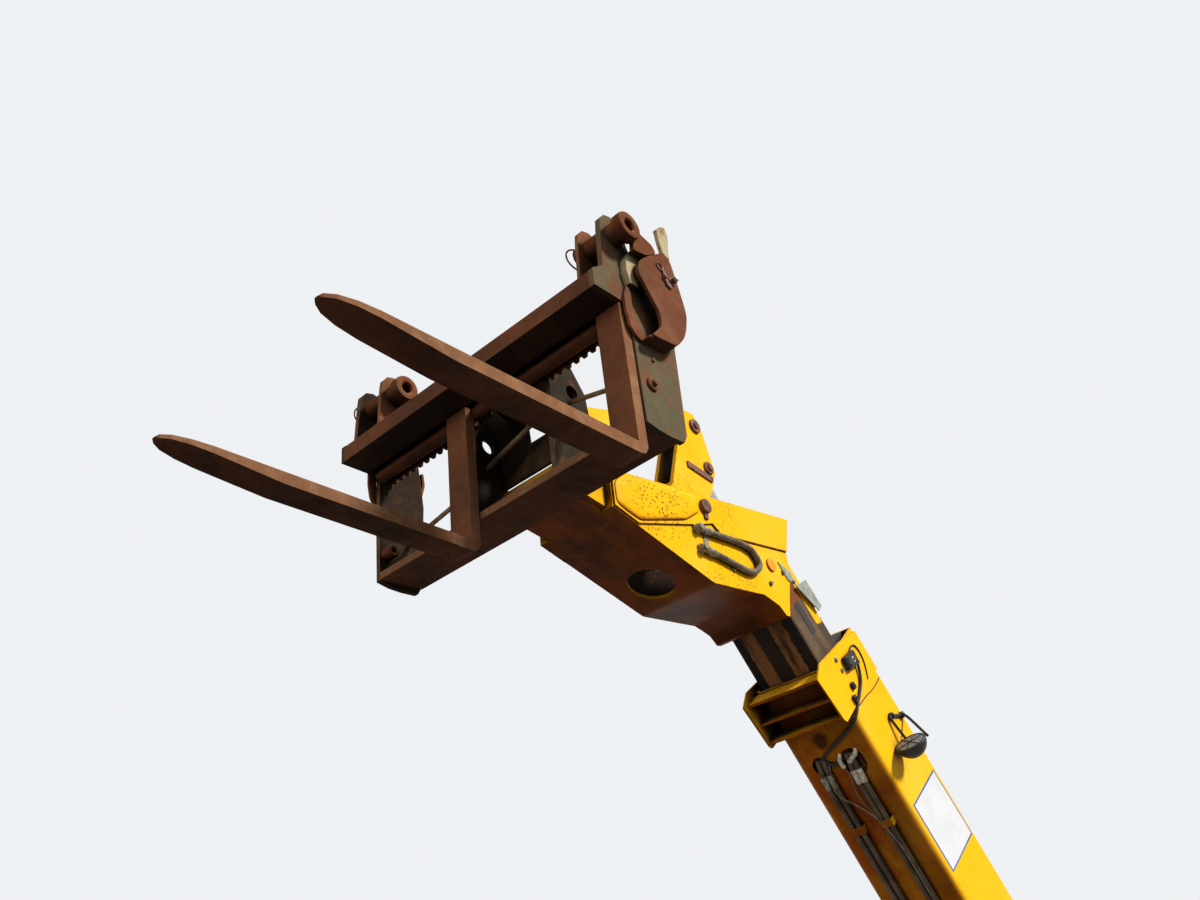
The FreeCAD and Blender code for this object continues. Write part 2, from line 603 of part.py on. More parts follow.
# the web between the hitch plates, low behind the link and higher beside it
web_low = [(-298, 345), (-298, 400), (-291, 465), (-279, 465), (-286, 400), (-286, 345)]
web_high = [(-291, 465), (-286, 525), (-211, 641), (-201, 635), (-274, 520), (-279, 465)]
for name, side in SIDES:
    p = Piece("hitch_plate_" + name, FORK)
    lo, hi = mirror(D.hitch_y, D.hitch_y + D.hitch_plate, side)
    p.add("XZ", lo, hi, hitch_side, ("circle", -217, 506, 30))
    lo, hi = mirror(0, D.hitch_y, side)
    p.add("XZ", lo, hi, web_low)
    lo, hi = mirror(D.link_half + 26, D.hitch_y, side)
    p.add("XZ", lo, hi, web_high)
    lo, hi = mirror(D.nose_half + 6, D.hitch_y + D.hitch_plate, side)
    p.add("XZ", lo, hi, ("circle", -262, 235, 58))
    p.cut("XZ", lo, hi, ("circle", -262, 235, D.hinge_pin))

for name, side in SIDES:
    p = Piece("link_ear_" + name, FORK)
    lo, hi = mirror(D.link_half + 6, D.link_half + 26, side)
    p.add("XZ", lo, hi, [(-5, 572), (-5, 595), (-180, 605), (-225, 606), (-260, 575), (-258, 535),
                         (-220, 514), (-170, 515), (-110, 545), (-100, 572)],
          ("circle", -215, 560, D.lever_pin))
Piece("link_pin", FORK).add("XZ", -60, 60, ("circle", -215, 560, D.lever_pin))

# hooks for the attachment beside the frame: an open slot in a plate with a folded rim
housing = [(-70, 702), (-142, 768), (-209, 815), (-243, 801), (-259, 729), (-279, 630), (-285, 577),
           (-266, 508), (-246, 464), (-197, 407), (-71, 393), (-132, 455), (-135, 507), (-112, 545),
           (-80, 596), (-48, 644)]
rim = [(-71, 393), (-197, 407), (-246, 464), (-266, 508), (-285, 577), (-279, 630), (-267, 630),
       (-273, 578), (-254, 511), (-235, 470), (-191, 419), (-76, 405)]
cheek = [(-32, 602), (-13, 550), (-12, 492), (-22, 430), (-46, 402), (-71, 393), (-90, 396), (-76, 412),
         (-58, 436), (-46, 490), (-50, 590)]
finger = [(-209, 815), (-199, 866), (-195, 915), (-220, 941), (-246, 953), (-257, 916), (-243, 832),
          (-243, 801)]
tongue = [(-34, 709), (-69, 764), (-132, 786), (-150, 778), (-111, 723), (-93, 669), (-74, 607),
          (-40, 607), (-28, 656)]
latches = Piece("latch_levers", FORK, 4)
for name, side in SIDES:
    p = Piece("hook_housing_" + name, FORK)
    lo, hi = mirror(fh + 40, fh + 54, side)
    p.add("XZ", lo, hi, housing)
    latches.add("XZ", lo, hi, finger)
    lo, hi = mirror(fh, fh + 40, side)
    p.add("XZ", lo, hi, rim)
    lo, hi = mirror(fh, fh + 12, side)
    p.add("XZ", lo, hi, cheek)
    lo, hi = mirror(fh, fh + 25, side)
    latches.add("XZ", lo, hi, tongue)

# flag pins on top of the carriage: inner ear's start, tube's ends, head's ends, handle's ends
flags = (("left", fh - 114, fh - 148, fh + 5, fh, fh + 76, fh + 56, fh + 72),
         ("right", 140 - fh, -1 * fh - 14, 170 - fh, 164 - fh, 234 - fh, 190 - fh, 206 - fh))
flag_shaft = many_sided(-15, D.flag_z, D.flag_round, 32)
handle = [(-15, 45), (-60, 25), (-147, 0), (-162, -28), (-102, -70), (-40, -82), (-15, -50)]
for name, ear_y, pin_from, pin_to, head_from, head_to, handle_from, handle_to in flags:
    ear = Piece("pin_ear_" + name, FORK)
    ear.add("XZ", ear_y, ear_y + 14, [(-5, 597), (60, 597)] + ear_top(D.flag_z),
            flag_shaft)
    pin = Piece("flag_pin_" + name, FORK)
    pin.add("XZ", pin_from, pin_to, flag_shaft)
    pin.add("XZ", head_from, head_to, many_sided(-15, D.flag_z, D.flag_head, 20))
    pin.add("XZ", handle_from, handle_to, [(x, D.flag_z + z) for x, z in handle])
    pin.cut("XZ", pin_from, head_to, many_sided(-15, D.flag_z, 20, 12))

# rack that the forks' latches fall into, between the plates that cross it
fork_rack = Piece("fork_rack", FORK, 4)
rack_rear = D.rack_front - D.rack_plate
for name, side in SIDES:
    for lo, hi in (mirror(D.link_half + 26, D.hitch_y, side),
                   mirror(D.hitch_y + D.hitch_plate, fh - sp, side)):
        edge = [(hi, D.beam_top), (lo, D.beam_top), (lo, D.rack_root)]
        for n in range(int((num(hi) - num(lo)) // D.rack_pitch.value)):
            start = lo + (n + 0.25) * D.rack_pitch
            edge += [(start, D.rack_root), (start + 3, D.rack_tip),
                     (start + 3 + D.rack_tooth, D.rack_tip), (start + 6 + D.rack_tooth, D.rack_root)]
        fork_rack.add("YZ", rack_rear, D.rack_front, edge + [(hi, D.rack_root)])
        fork_rack.add("YZ", D.rack_front, D.beam_rear, box(lo, hi, D.beam_top - 12, D.beam_top))

# FORKS
for name, middle in (("left", D.fork_left_y), ("right", D.fork_right_y)):
    f = Piece("fork_" + name, FORK)
    th = D.fork_thick
    half = D.fork_wide * 0.5
    f.add("XZ", middle - half, middle + half,
          [(0, 0), (0, D.fork_top), (-1 * th, D.fork_top), (-1 * th, -10), (-25, -34), (0, -1 * th),
           (700, -1 * th), (D.fork_len - 8, -12), (D.fork_len, -6), (D.fork_len - 8, 0)])
    f.add("XZ", middle - D.eye_half, middle + D.eye_half,
          ("circle", D.bar_x, D.bar_z, D.fork_eye))
    f.cut("XZ", middle - half, middle + half, ("circle", D.bar_x, D.bar_z, D.bar_round + D.run_gap))
    for side in (1, -1):
        f.cut("XY", -1 * th - 1, 1, [(D.fork_len - back, middle + side * (half - inset))
                                     for back, inset in ((150, 0), (85, 5), (35, 17), (10, 33), (0, 44))]
              + [(D.fork_len + 10, middle + side * (half - 44)), (D.fork_len + 10, middle + side * (half + 10)),
                 (D.fork_len - 150, middle + side * (half + 10))])

doc.recompute()
for p in pieces:
    p.body.Placement = p.place
doc.recompute()
bad = [o.Name for o in doc.Objects if "Invalid" in o.State or "Error" in o.State]
if bad:
    raise SystemExit("not solved: " + ", ".join(bad))
for p in pieces:
    s = p.body.Shape
    if s.isNull() or not s.isValid() or len(s.Solids) != p.solids or s.Volume < 1:
        raise SystemExit("bad shape: %s, %d solids" % (p.body.Label, len(s.Solids)))
    s.exportStep("parts/%s.step" % p.body.Label)
print(len(pieces), "pieces")
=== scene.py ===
import math

import bmesh
import bpy
from mathutils import Matrix, Vector


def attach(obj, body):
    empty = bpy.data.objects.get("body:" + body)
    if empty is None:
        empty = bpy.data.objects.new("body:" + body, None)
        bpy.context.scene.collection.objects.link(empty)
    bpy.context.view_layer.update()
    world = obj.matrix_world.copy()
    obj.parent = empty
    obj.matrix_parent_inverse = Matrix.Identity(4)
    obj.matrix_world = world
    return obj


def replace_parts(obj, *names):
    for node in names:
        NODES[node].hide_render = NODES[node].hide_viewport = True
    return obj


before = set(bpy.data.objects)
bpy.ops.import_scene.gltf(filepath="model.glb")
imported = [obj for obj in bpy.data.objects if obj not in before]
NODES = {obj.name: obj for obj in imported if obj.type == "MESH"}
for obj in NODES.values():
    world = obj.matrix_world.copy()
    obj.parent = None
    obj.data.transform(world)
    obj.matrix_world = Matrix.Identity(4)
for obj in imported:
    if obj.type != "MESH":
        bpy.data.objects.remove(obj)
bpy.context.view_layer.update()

# Finish, small parts, light and camera for the boom and its fork carriage.
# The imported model's frame is in metres: +X forwards, +Y to the machine's left, +Z up.
# Small parts are drawn in millimetres, in one of two spaces with the same y:
# BOOM has u along the boom from its rear pivot and w square to it, FORK has x forwards
# from the shanks' front face and z up along them. Outlines are in such a side view.

MM = 0.001

# the boom is raised by ELEVATION and the forks droop by DROOP
ELEVATION = math.radians(41.7)
DROOP = math.radians(9.0)
FORK_ORIGIN_IN_BOOM = Vector((4.080, 0, -1.335))
BOOM = Matrix.Rotation(-ELEVATION, 4, "Y")
FORK = Matrix.Translation(BOOM @ FORK_ORIGIN_IN_BOOM) @ Matrix.Rotation(DROOP, 4, "Y")

FRONT, LEFT, DOWN = (1, 0, 0), (0, 1, 0), (0, 0, -1)
UP_AND_LEFT = (0, 0.35, 0.94)
ALONG_BOOM = (math.cos(ELEVATION), 0.0, math.sin(ELEVATION))
ACROSS_BOOM = (-math.sin(ELEVATION), 0.0, math.cos(ELEVATION))
UNDER_BOOM = tuple(-c for c in ACROSS_BOOM)
SIDES = ((1, "left"), (-1, "right"))


# SHADERS

class Shader:
    """One material's nodes, with short calls for the patterns used here."""

    def __init__(self, name):
        self.material = bpy.data.materials.new(name)
        self.material.use_nodes = True
        self.tree = self.material.node_tree
        self.tree.nodes.clear()
        self.output = self.make("ShaderNodeOutputMaterial")
        self.bsdf = self.make("ShaderNodeBsdfPrincipled")
        self.tree.links.new(self.bsdf.outputs[0], self.output.inputs["Surface"])
        self.point = self.make("ShaderNodeTexCoord").outputs["Object"]

    def make(self, kind, inputs=(), **settings):
        item = self.tree.nodes.new(kind)
        for key, value in settings.items():
            setattr(item, key, value)
        for key, value in dict(inputs).items():
            self.feed(item.inputs[key], value)
        return item

    def feed(self, socket, value):
        if isinstance(value, bpy.types.NodeSocket):
            self.tree.links.new(value, socket)
        else:
            socket.default_value = value

    def set(self, **values):
        """Set the shader's own sockets, by name with _ for a space."""
        for key, value in values.items():
            self.feed(self.bsdf.inputs[key.replace("_", " ")], value)

    def math(self, operation, a, b=0.0):
        return self.make("ShaderNodeMath", {0: a, 1: b}, operation=operation).outputs[0]

    def vector(self, operation, a, b):
        item = self.make("ShaderNodeVectorMath", {0: a, 1: b}, operation=operation)
        return item.outputs["Value"]

    def plus(self, a, b):
        return self.math("ADD", a, b)

    def times(self, *values):
        product = values[0]
        for value in values[1:]:
            product = self.math("MULTIPLY", product, value)
        return product

    def most(self, a, b):
        return self.math("MAXIMUM", a, b)

    def capped(self, value):
        return self.math("MINIMUM", value, 1.0)

    def noise(self, scale, detail=4.0, rough=0.55, place=None):
        item = self.make("ShaderNodeTexNoise", {"Vector": self.point if place is None else place,
                                                "Scale": scale, "Detail": detail,
                                                "Roughness": rough})
        return item.outputs["Fac"]

    def streaks(self, scale, length, detail, rough=0.6):
        """Noise drawn out along the boom, length times as long as wide."""
        level = self.make("ShaderNodeMapping", {"Vector": self.point,
                                                "Rotation": (0.0, ELEVATION, 0.0)}).outputs[0]
        drawn = self.make("ShaderNodeMapping", {"Vector": level,
                                                "Scale": (1.0 / length, 1.0, 1.0)}).outputs[0]
        return self.noise(scale, detail, rough, drawn)

    def wobble(self, scale, width):
        """A fine ragged offset, up to half a width either way."""
        return self.times(self.math("SUBTRACT", self.noise(scale, 6.0, 0.7), 0.5), width)

    def spots(self, scale, size):
        """Small round specks, 1 inside a speck."""
        item = self.make("ShaderNodeTexVoronoi", {"Vector": self.point, "Scale": scale})
        return self.step(item.outputs["Distance"], size, size * 0.6)

    def step(self, value, low, high, top=1.0):
        """0 where a value is at low and top where it is at high, smooth between."""
        item = self.make("ShaderNodeMapRange", {"Value": value, "From Min": low, "From Max": high,
                                                "To Max": top}, interpolation_type="SMOOTHSTEP")
        return item.outputs["Result"]

    def past(self, value, border, soft=0.004):
        """1 past a border and 0 before it, or the other way round with soft below 0."""
        return self.step(value, border - soft, border + soft)

    def mix(self, amount, first, second):
        item = self.make("ShaderNodeMix", data_type="RGBA")
        self.feed(item.inputs[0], amount)
        self.feed(item.inputs[6], first)
        self.feed(item.inputs[7], second)
        return item.outputs[2]

    def near(self, centre, close, far, ragged=0.0):
        """1 closer to a point than close, 0 beyond far, with a ragged border."""
        away = self.vector("DISTANCE", self.point, centre)
        torn = self.plus(away, self.times(self.noise(24.0, 6.0, 0.7), ragged))
        return self.step(torn, far + ragged / 2, close + ragged / 2)

    def along(self, direction):
        """The surface point's distance along a direction from the origin."""
        return self.vector("DOT_PRODUCT", self.point, direction)

    def facing(self, direction, low, high):
        """1 where the surface faces a direction by a cosine above high, 0 below low."""
        normal = self.make("ShaderNodeTexCoord").outputs["Normal"]
        return self.step(self.vector("DOT_PRODUCT", normal, direction), low, high)

    def hollows(self, reach, low, high):
        """1 deep inside hollows and corners, 0 on open faces."""
        item = self.make("ShaderNodeAmbientOcclusion", {"Distance": reach}, samples=6)
        return self.step(item.outputs["AO"], high, low)

    def soft_normal(self, radius):
        return self.make("ShaderNodeBevel", {"Radius": radius}, samples=4).outputs[0]

    def edges(self, radius=0.005):
        """1 on worn edges, 0 on flat faces."""
        flat = self.make("ShaderNodeNewGeometry").outputs["Normal"]
        return self.step(self.vector("DOT_PRODUCT", self.soft_normal(radius), flat), 0.985, 0.85)

    def bump(self, height, distance, strength=0.6, radius=0.0025):
        item = self.make("ShaderNodeBump", {"Height": height, "Distance": distance,
                                            "Strength": strength,
                                            "Normal": self.soft_normal(radius)})
        self.set(Normal=item.outputs[0])


def rgb(red, green, blue):
    """A display colour, 0 to 255, as the linear colour that the shader takes."""
    return tuple((c / 255 / 12.92 if c <= 10 else ((c / 255 + 0.055) / 1.055) ** 2.4)
                 for c in (red, green, blue)) + (1.0,)


YELLOW, YELLOW_PALE, YELLOW_DEEP = rgb(250, 184, 4), rgb(252, 208, 84), rgb(236, 146, 4)
# the next three colours are stains and grime, and also painted shade below and in hollows
STAIN_WITH_SHADE, DEEP_STAIN_WITH_SHADE, GRIME_WITH_SHADE = rgb(168, 84, 20), rgb(70, 38, 20), rgb(26, 18, 14)
SPECK, CHIP = rgb(92, 48, 18), rgb(120, 66, 30)
RUST_RED, RUST_DARK, RUST_TAN = rgb(128, 80, 54), rgb(76, 52, 40), rgb(150, 116, 84)
# of these, the underside colour is painted shade below and the last one painted shade with a sooty
# tone in hollows
RUST_GREY, UNDERSIDE, SOOT_WITH_SHADE = rgb(92, 62, 48), rgb(40, 29, 25), rgb(20, 15, 13)
DUSTY, DUSTY_PALE, DUSTY_DARK = rgb(76, 60, 46), rgb(116, 95, 72), rgb(62, 48, 38)
GREASE, GREASE_PALE = rgb(30, 24, 20), rgb(50, 38, 30)
TORN_RUST, SCRAPED, BARE_EDGE = rgb(122, 66, 30), rgb(158, 108, 66), rgb(150, 112, 70)
LENS_DARK, LENS_PALE = rgb(60, 66, 74), rgb(120, 128, 136)


def yellow_paint(name, stain_and_shade, dirt_and_shade, speckle, reach=0.45, smudge=None, rusty_at=None):
    """Yellow paint: pale where faded, stained and sooty below with painted shade there,
    painted shade near black in hollows as deep as reach, with rust specks on left faces and
    chipped edges. A dark smudge and the densest specks each lie round one point."""
    s = Shader(name)
    faded = s.step(s.noise(2.2, 3.0), 0.42, 0.72)
    warm = s.step(s.noise(5.0, 6.0), 0.5, 0.75)
    colour = s.mix(s.times(faded, 0.38), YELLOW, YELLOW_PALE)
    colour = s.mix(s.times(warm, 0.35), colour, YELLOW_DEEP)
    # faces that look down get painted shade in brown and dark brown, with blots and streaks
    below = s.facing(DOWN, 0.15, 0.6)
    blot = s.step(s.noise(4.0, 8.0, 0.62), 0.36, 0.64)
    colour = s.mix(s.times(below, s.capped(s.plus(s.times(blot, 0.4), stain_and_shade))), colour, STAIN_WITH_SHADE)
    soot_and_shade = s.step(s.streaks(3.6, 2.6, 8.0, 0.66), 0.36, 0.62)
    colour = s.mix(s.times(below, s.capped(s.plus(s.times(soot_and_shade, 0.5), dirt_and_shade))), colour, DEEP_STAIN_WITH_SHADE)
    # painted shade in hollows, down to near black
    inside = s.hollows(reach, 0.18, 0.66)
    colour = s.mix(s.step(inside, 0.0, 0.5), colour, DEEP_STAIN_WITH_SHADE)
    colour = s.mix(s.step(inside, 0.3, 1.0, 0.97), colour, GRIME_WITH_SHADE)
    if smudge:
        colour = s.mix(s.times(s.near(smudge, 0.02, 0.05, 0.05), 0.85), colour, GRIME_WITH_SHADE)
    left = s.facing(LEFT, 0.2, 0.6)
    pitted = s.step(s.noise(3.2, 3.0), 0.46, 0.6)
    if rusty_at:
        pitted = s.most(s.times(pitted, 0.6), s.near(rusty_at, 0.1, 0.26))
    specks = s.times(s.spots(64.0, 0.33), pitted, left)
    pits = s.times(s.spots(105.0, 0.36), s.step(s.noise(9.0, 3.0), 0.46, 0.6), pitted, left)
    for marks in (specks, pits):
        colour = s.mix(s.times(marks, speckle), colour, SPECK)
    drips = s.times(s.step(s.streaks(40.0, 0.2, 3.0), 0.58, 0.7),
                    s.step(s.noise(3.4, 2.0), 0.5, 0.66))
    colour = s.mix(s.times(drips, speckle * 0.6), colour, STAIN_WITH_SHADE)
    chips = s.times(s.edges(), s.step(s.noise(30.0, 6.0, 0.7), 0.48, 0.6))
    colour = s.mix(chips, colour, CHIP)
    fine = s.step(s.noise(60.0), 0.5, 0.62)
    s.set(Base_Color=colour, Roughness=s.plus(s.times(faded, 0.15), 0.42),
          Specular_IOR_Level=0.04)
    s.bump(s.plus(s.times(fine, 0.25), s.times(chips, -1.0)), 0.0012)
    return s.material


def rusty_steel(name, tone=0.0, paint=None, cover=0.0, left_dust_and_light=0.3, front_dust_and_light=0.0, soot_and_shade=0.5):
    """Brown rusted steel: darker patches, rests of a paint that cover more or less of it,
    tan dust and painted light on tops, left and front faces, painted shade below and in hollows."""
    s = Shader(name)
    big = s.step(s.noise(4.0, 5.0, 0.6), 0.38, 0.68)
    small = s.step(s.noise(26.0, 8.0, 0.68), 0.38, 0.66)
    colour = s.mix(s.times(big, 0.6), RUST_RED, RUST_DARK)
    colour = s.mix(s.times(small, 0.4), colour, RUST_GREY)
    if paint:
        left_over = s.step(s.noise(5.5, 8.0, 0.68), 0.4 - cover, 0.58 - cover)
        colour = s.mix(s.times(left_over, 0.95), colour, paint)
    dust = s.step(s.noise(11.0, 7.0, 0.7), 0.44, 0.72)
    # tan on faces that look up, left or front: dust and painted light, left and front by their
    # shares
    dust_and_light = s.most(s.facing(UP_AND_LEFT, 0.25, 0.8),
                     s.times(s.facing(LEFT, 0.6, 0.95), left_dust_and_light))
    dust_and_light = s.most(dust_and_light, s.times(s.facing(FRONT, 0.6, 0.95), front_dust_and_light))
    colour = s.mix(s.capped(s.times(s.plus(s.times(dust, 0.7), 0.3), dust_and_light)), colour, RUST_TAN)
    colour = s.mix(s.times(dust, tone), colour, RUST_TAN)
    edge = s.times(s.edges(), s.step(s.noise(18.0), 0.35, 0.6))
    colour = s.mix(s.times(edge, 0.6), colour, RUST_TAN)
    # painted shade below, darker in patches, then near-black painted shade in hollows
    below = s.facing(DOWN, 0.3, 0.8)
    colour = s.mix(s.times(below, s.plus(s.times(big, 0.3), soot_and_shade)), colour, UNDERSIDE)
    colour = s.mix(s.times(s.hollows(0.4, 0.2, 0.62), 0.9), colour, SOOT_WITH_SHADE)
    s.set(Base_Color=colour, Roughness=s.plus(s.times(small, 0.15), 0.72),
          Specular_IOR_Level=0.03)
    s.bump(s.plus(s.noise(140.0), s.times(small, 0.6)), 0.0012, 0.55)
    return s.material


def plain(name, colour, other, rough=0.5, metallic=0.0, scale=18.0, bump=0.0006):
    """A finish of two close colours in soft patches."""
    s = Shader(name)
    patch = s.step(s.noise(scale, 6.0, 0.6), 0.38, 0.66)
    s.set(Base_Color=s.mix(patch, colour, other), Metallic=metallic, Specular_IOR_Level=0.25,
          Roughness=s.plus(s.times(patch, 0.15), rough))
    s.bump(s.noise(scale * 8, 3.0), bump, 0.4, 0.0012)
    return s.material


# places on the inner boom in metres: along the boom (AT) or across it (ABOVE), and the
# middle and half width of each scraped strip
PAINT_STARTS_AT = 3.020
RUST_STARTS_AT = 3.152
PAINT_ABOVE = -0.010
STRIPS_END_AT = 3.14
STRIPS = ((-0.072, 0.033), (0.066, 0.036))


def greased_steel(name):
    """The inner boom: black grease below with two scraped strips, dusty brown sides, and
    paint left on the left side near the head with a torn lower end and rust beside it."""
    s = Shader(name)
    streak = s.step(s.streaks(9.0, 7.0, 8.0, 0.7), 0.42, 0.62)
    dust = s.step(s.noise(14.0, 7.0, 0.7), 0.38, 0.66)
    colour = s.mix(s.times(streak, 0.7), DUSTY, DUSTY_PALE)
    colour = s.mix(s.times(dust, 0.4), colour, DUSTY_DARK)
    across = s.make("ShaderNodeSeparateXYZ", {0: s.point}).outputs[1]
    along, up = s.along(ALONG_BOOM), s.along(ACROSS_BOOM)
    left = s.facing(LEFT, 0.2, 0.6)
    painted = s.times(s.past(s.plus(along, s.wobble(46.0, 0.09)), PAINT_STARTS_AT),
                      s.past(up, PAINT_ABOVE), left)
    rusty = s.times(s.past(along, RUST_STARTS_AT), s.past(up, PAINT_ABOVE, -0.004), left)
    colour = s.mix(painted, colour, YELLOW)
    colour = s.mix(s.times(rusty, 0.9), colour, TORN_RUST)
    below = s.facing(UNDER_BOOM, 0.5, 0.8)
    colour = s.mix(below, colour, s.mix(streak, GREASE, GREASE_PALE))
    for middle, half in STRIPS:
        off = s.math("ABSOLUTE", s.math("SUBTRACT", across, middle))
        off = s.plus(off, s.wobble(30.0, 0.03))
        strip = s.times(s.step(off, half, half * 0.86), below, s.past(along, STRIPS_END_AT, -0.01),
                        s.step(s.streaks(18.0, 5.0, 6.0, 0.7), 0.34, 0.56))
        colour = s.mix(s.times(strip, 0.9), colour, SCRAPED)
    colour = s.mix(s.times(s.edges(), 0.3), colour, BARE_EDGE)
    s.set(Base_Color=colour, Roughness=0.6, Specular_IOR_Level=0.08)
    s.bump(s.noise(90.0, 5.0), 0.0008, 0.4)
    return s.material


def lamp_glass(name):
    """A ribbed dark lens."""
    s = Shader(name)
    rib = s.make("ShaderNodeTexWave", {"Vector": s.point, "Scale": 60.0}, bands_direction="Y",
                 wave_type="BANDS").outputs["Fac"]
    s.set(Base_Color=s.mix(rib, LENS_DARK, LENS_PALE), Roughness=0.12, Specular_IOR_Level=0.7)
    s.bump(rib, 0.001, 0.5, 0.001)
    return s.material


# a greasy spot under the collar and the worst rust on the head's nose, in metres in BOOM
SMUDGE = tuple(BOOM @ Vector((2.625, -0.01, -0.206)))
PITTED = tuple(BOOM @ Vector((3.850, 0.190, -0.650)))

OUTER_PAINT = yellow_paint("outer_boom_paint", stain_and_shade=0.7, dirt_and_shade=0.05, speckle=0.3, reach=0.16,
                           smudge=SMUDGE)
HEAD_PAINT = yellow_paint("head_paint", stain_and_shade=0.85, dirt_and_shade=0.5, speckle=0.95, reach=0.6,
                          rusty_at=PITTED)
LEVER_PAINT = yellow_paint("lever_paint", stain_and_shade=0.3, dirt_and_shade=0.2, speckle=0.6)
# the shares of tan on left and front faces given below are dust and painted light
RUST = rusty_steel("rusted_steel")
FORK_STEEL = rusty_steel("fork_steel", tone=0.1, left_dust_and_light=0.8)
HOOK_STEEL = rusty_steel("hook_steel", paint=rgb(104, 56, 34), left_dust_and_light=0.05)
PLATE_STEEL = rusty_steel("side_plate_steel", paint=rgb(78, 80, 62), cover=0.06, front_dust_and_light=0.8)
# the right side plate's copy: its near-black paint colour and small left share are painted shade
# on the plate's inner face
SHADED_PLATE_STEEL = rusty_steel("shaded_plate_steel", paint=rgb(30, 28, 24), cover=0.16, left_dust_and_light=0.05,
                         front_dust_and_light=0.9)
# the hitch plates: dark green paint made darker as painted shade, with a small left share
HITCH_STEEL = rusty_steel("hitch_steel", paint=rgb(28, 34, 30), cover=0.12, left_dust_and_light=0.12,
                          front_dust_and_light=0.9)
LIP_STEEL = rusty_steel("bottom_plate_steel", front_dust_and_light=0.95)
# the top beam: stronger painted shade below
BEAM_STEEL = rusty_steel("top_beam_steel", soot_and_shade=0.9)
CREAM = rusty_steel("worn_cream_paint", tone=0.2, paint=rgb(188, 176, 138), cover=0.08)
INNER_STEEL = greased_steel("inner_boom_steel")
GLASS = lamp_glass("lamp_lens")
CHROME = plain("chrome_rod", rgb(196, 198, 200), rgb(170, 172, 174), 0.12, 1.0, 8.0, 0.0001)
BARREL = plain("barrel_paint", rgb(66, 60, 52), rgb(42, 38, 34), 0.45)
PAD = plain("wear_pad_nylon", rgb(48, 46, 44), rgb(30, 29, 28), 0.45)
PIN_STEEL = plain("pin_steel", rgb(112, 72, 50), rgb(64, 42, 34), 0.5, 0.2, 30.0)
SHEET = plain("guard_sheet_zinc", rgb(150, 158, 150), rgb(120, 124, 112), 0.5, 0.1, 20.0)
FITTING = plain("fitting_zinc", rgb(142, 138, 122), rgb(92, 84, 68), 0.4, 0.3, 60.0)
ELBOW = plain("elbow_zinc", rgb(196, 190, 172), rgb(150, 142, 124), 0.4, 0.3, 60.0)
RUBBER = plain("hose_rubber", rgb(98, 82, 62), rgb(64, 52, 42), 0.6, 0.0, 14.0, 0.0004)
CABLE = plain("cable_black", rgb(30, 28, 27), rgb(46, 42, 38), 0.55, 0.0, 14.0, 0.0002)
WIRE = plain("wire_grey", rgb(150, 136, 112), rgb(112, 98, 78), 0.55, 0.0, 30.0, 0.0002)
JUMPER = plain("jumper_hose", rgb(116, 104, 84), rgb(78, 68, 54), 0.6, 0.0, 40.0, 0.0008)
BLACK = plain("lamp_housing_black", rgb(24, 24, 24), rgb(42, 38, 34), 0.5, 0.0, 30.0)
WHITE = plain("bare_label_plate", rgb(216, 219, 222), rgb(208, 211, 215), 0.35, 0.0, 9.0, 0.0001)
LABEL_EDGE = plain("label_border", rgb(60, 104, 160), rgb(50, 88, 140), 0.35, 0.0, 9.0, 0.0001)
BRACE = plain("brace_steel", rgb(150, 126, 96), rgb(112, 86, 62), 0.6, 0.0, 30.0)
PLUG_PAINT = plain("plug_orange", rgb(240, 152, 8), rgb(232, 138, 6), 0.5, 0.0, 60.0)
BRIGHT = plain("bright_steel", rgb(206, 206, 200), rgb(160, 158, 150), 0.25, 0.9, 50.0)

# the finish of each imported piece, by the start of its name; the first match counts
FINISHES = (
    ("outer_boom", OUTER_PAINT), ("hose_clamps", OUTER_PAINT), ("boom_head", HEAD_PAINT),
    ("tilt_lever", LEVER_PAINT), ("tilt_link", LEVER_PAINT), ("inner_boom", INNER_STEEL),
    ("tilt_rod", CHROME), ("extension_rod", CHROME), ("tilt_barrel", BARREL),
    ("extension_barrel", BARREL), ("wear_pad", PAD), ("guard_plates", SHEET),
    ("couplers", FITTING), ("hoses", RUBBER), ("coupler_hose", JUMPER),
    ("work_lamp", BLACK), ("lamp_bracket", BLACK), ("sensor_block", BLACK),
    ("side_plate_left", PLATE_STEEL), ("side_plate_right", SHADED_PLATE_STEEL),
    ("bottom_plate", LIP_STEEL), ("pin_ear", LIP_STEEL), ("top_beam", BEAM_STEEL),
    ("hitch_plate", HITCH_STEEL), ("link_ear", HITCH_STEEL), ("latch_levers", CREAM),
    ("fork_left", FORK_STEEL), ("fork_right", FORK_STEEL), ("hook_housing", HOOK_STEEL),
    ("flag_pin", HOOK_STEEL), ("hinge_pin", PIN_STEEL), ("lever_pin", PIN_STEEL), ("", RUST),
)


def dress_nodes():
    for name, obj in NODES.items():
        finish = next(m for start, m in FINISHES if name.startswith(start))
        obj.data.materials.clear()
        obj.data.materials.append(finish)


# SMALL PARTS

def rounded(outline, radius, steps=6):
    """An outline with each corner turned into a curve that starts a radius before it."""
    curve = []
    count = len(outline)
    for i, corner in enumerate(outline):
        here = Vector(corner)
        start, end = (here + way.normalized() * min(radius, way.length * 0.49)
                      for way in (Vector(outline[i - 1]) - here,
                                  Vector(outline[(i + 1) % count]) - here))
        for k in range(steps + 1):
            t = k / steps
            curve.append(tuple((1 - t) ** 2 * start + 2 * t * (1 - t) * here + t ** 2 * end))
    return curve


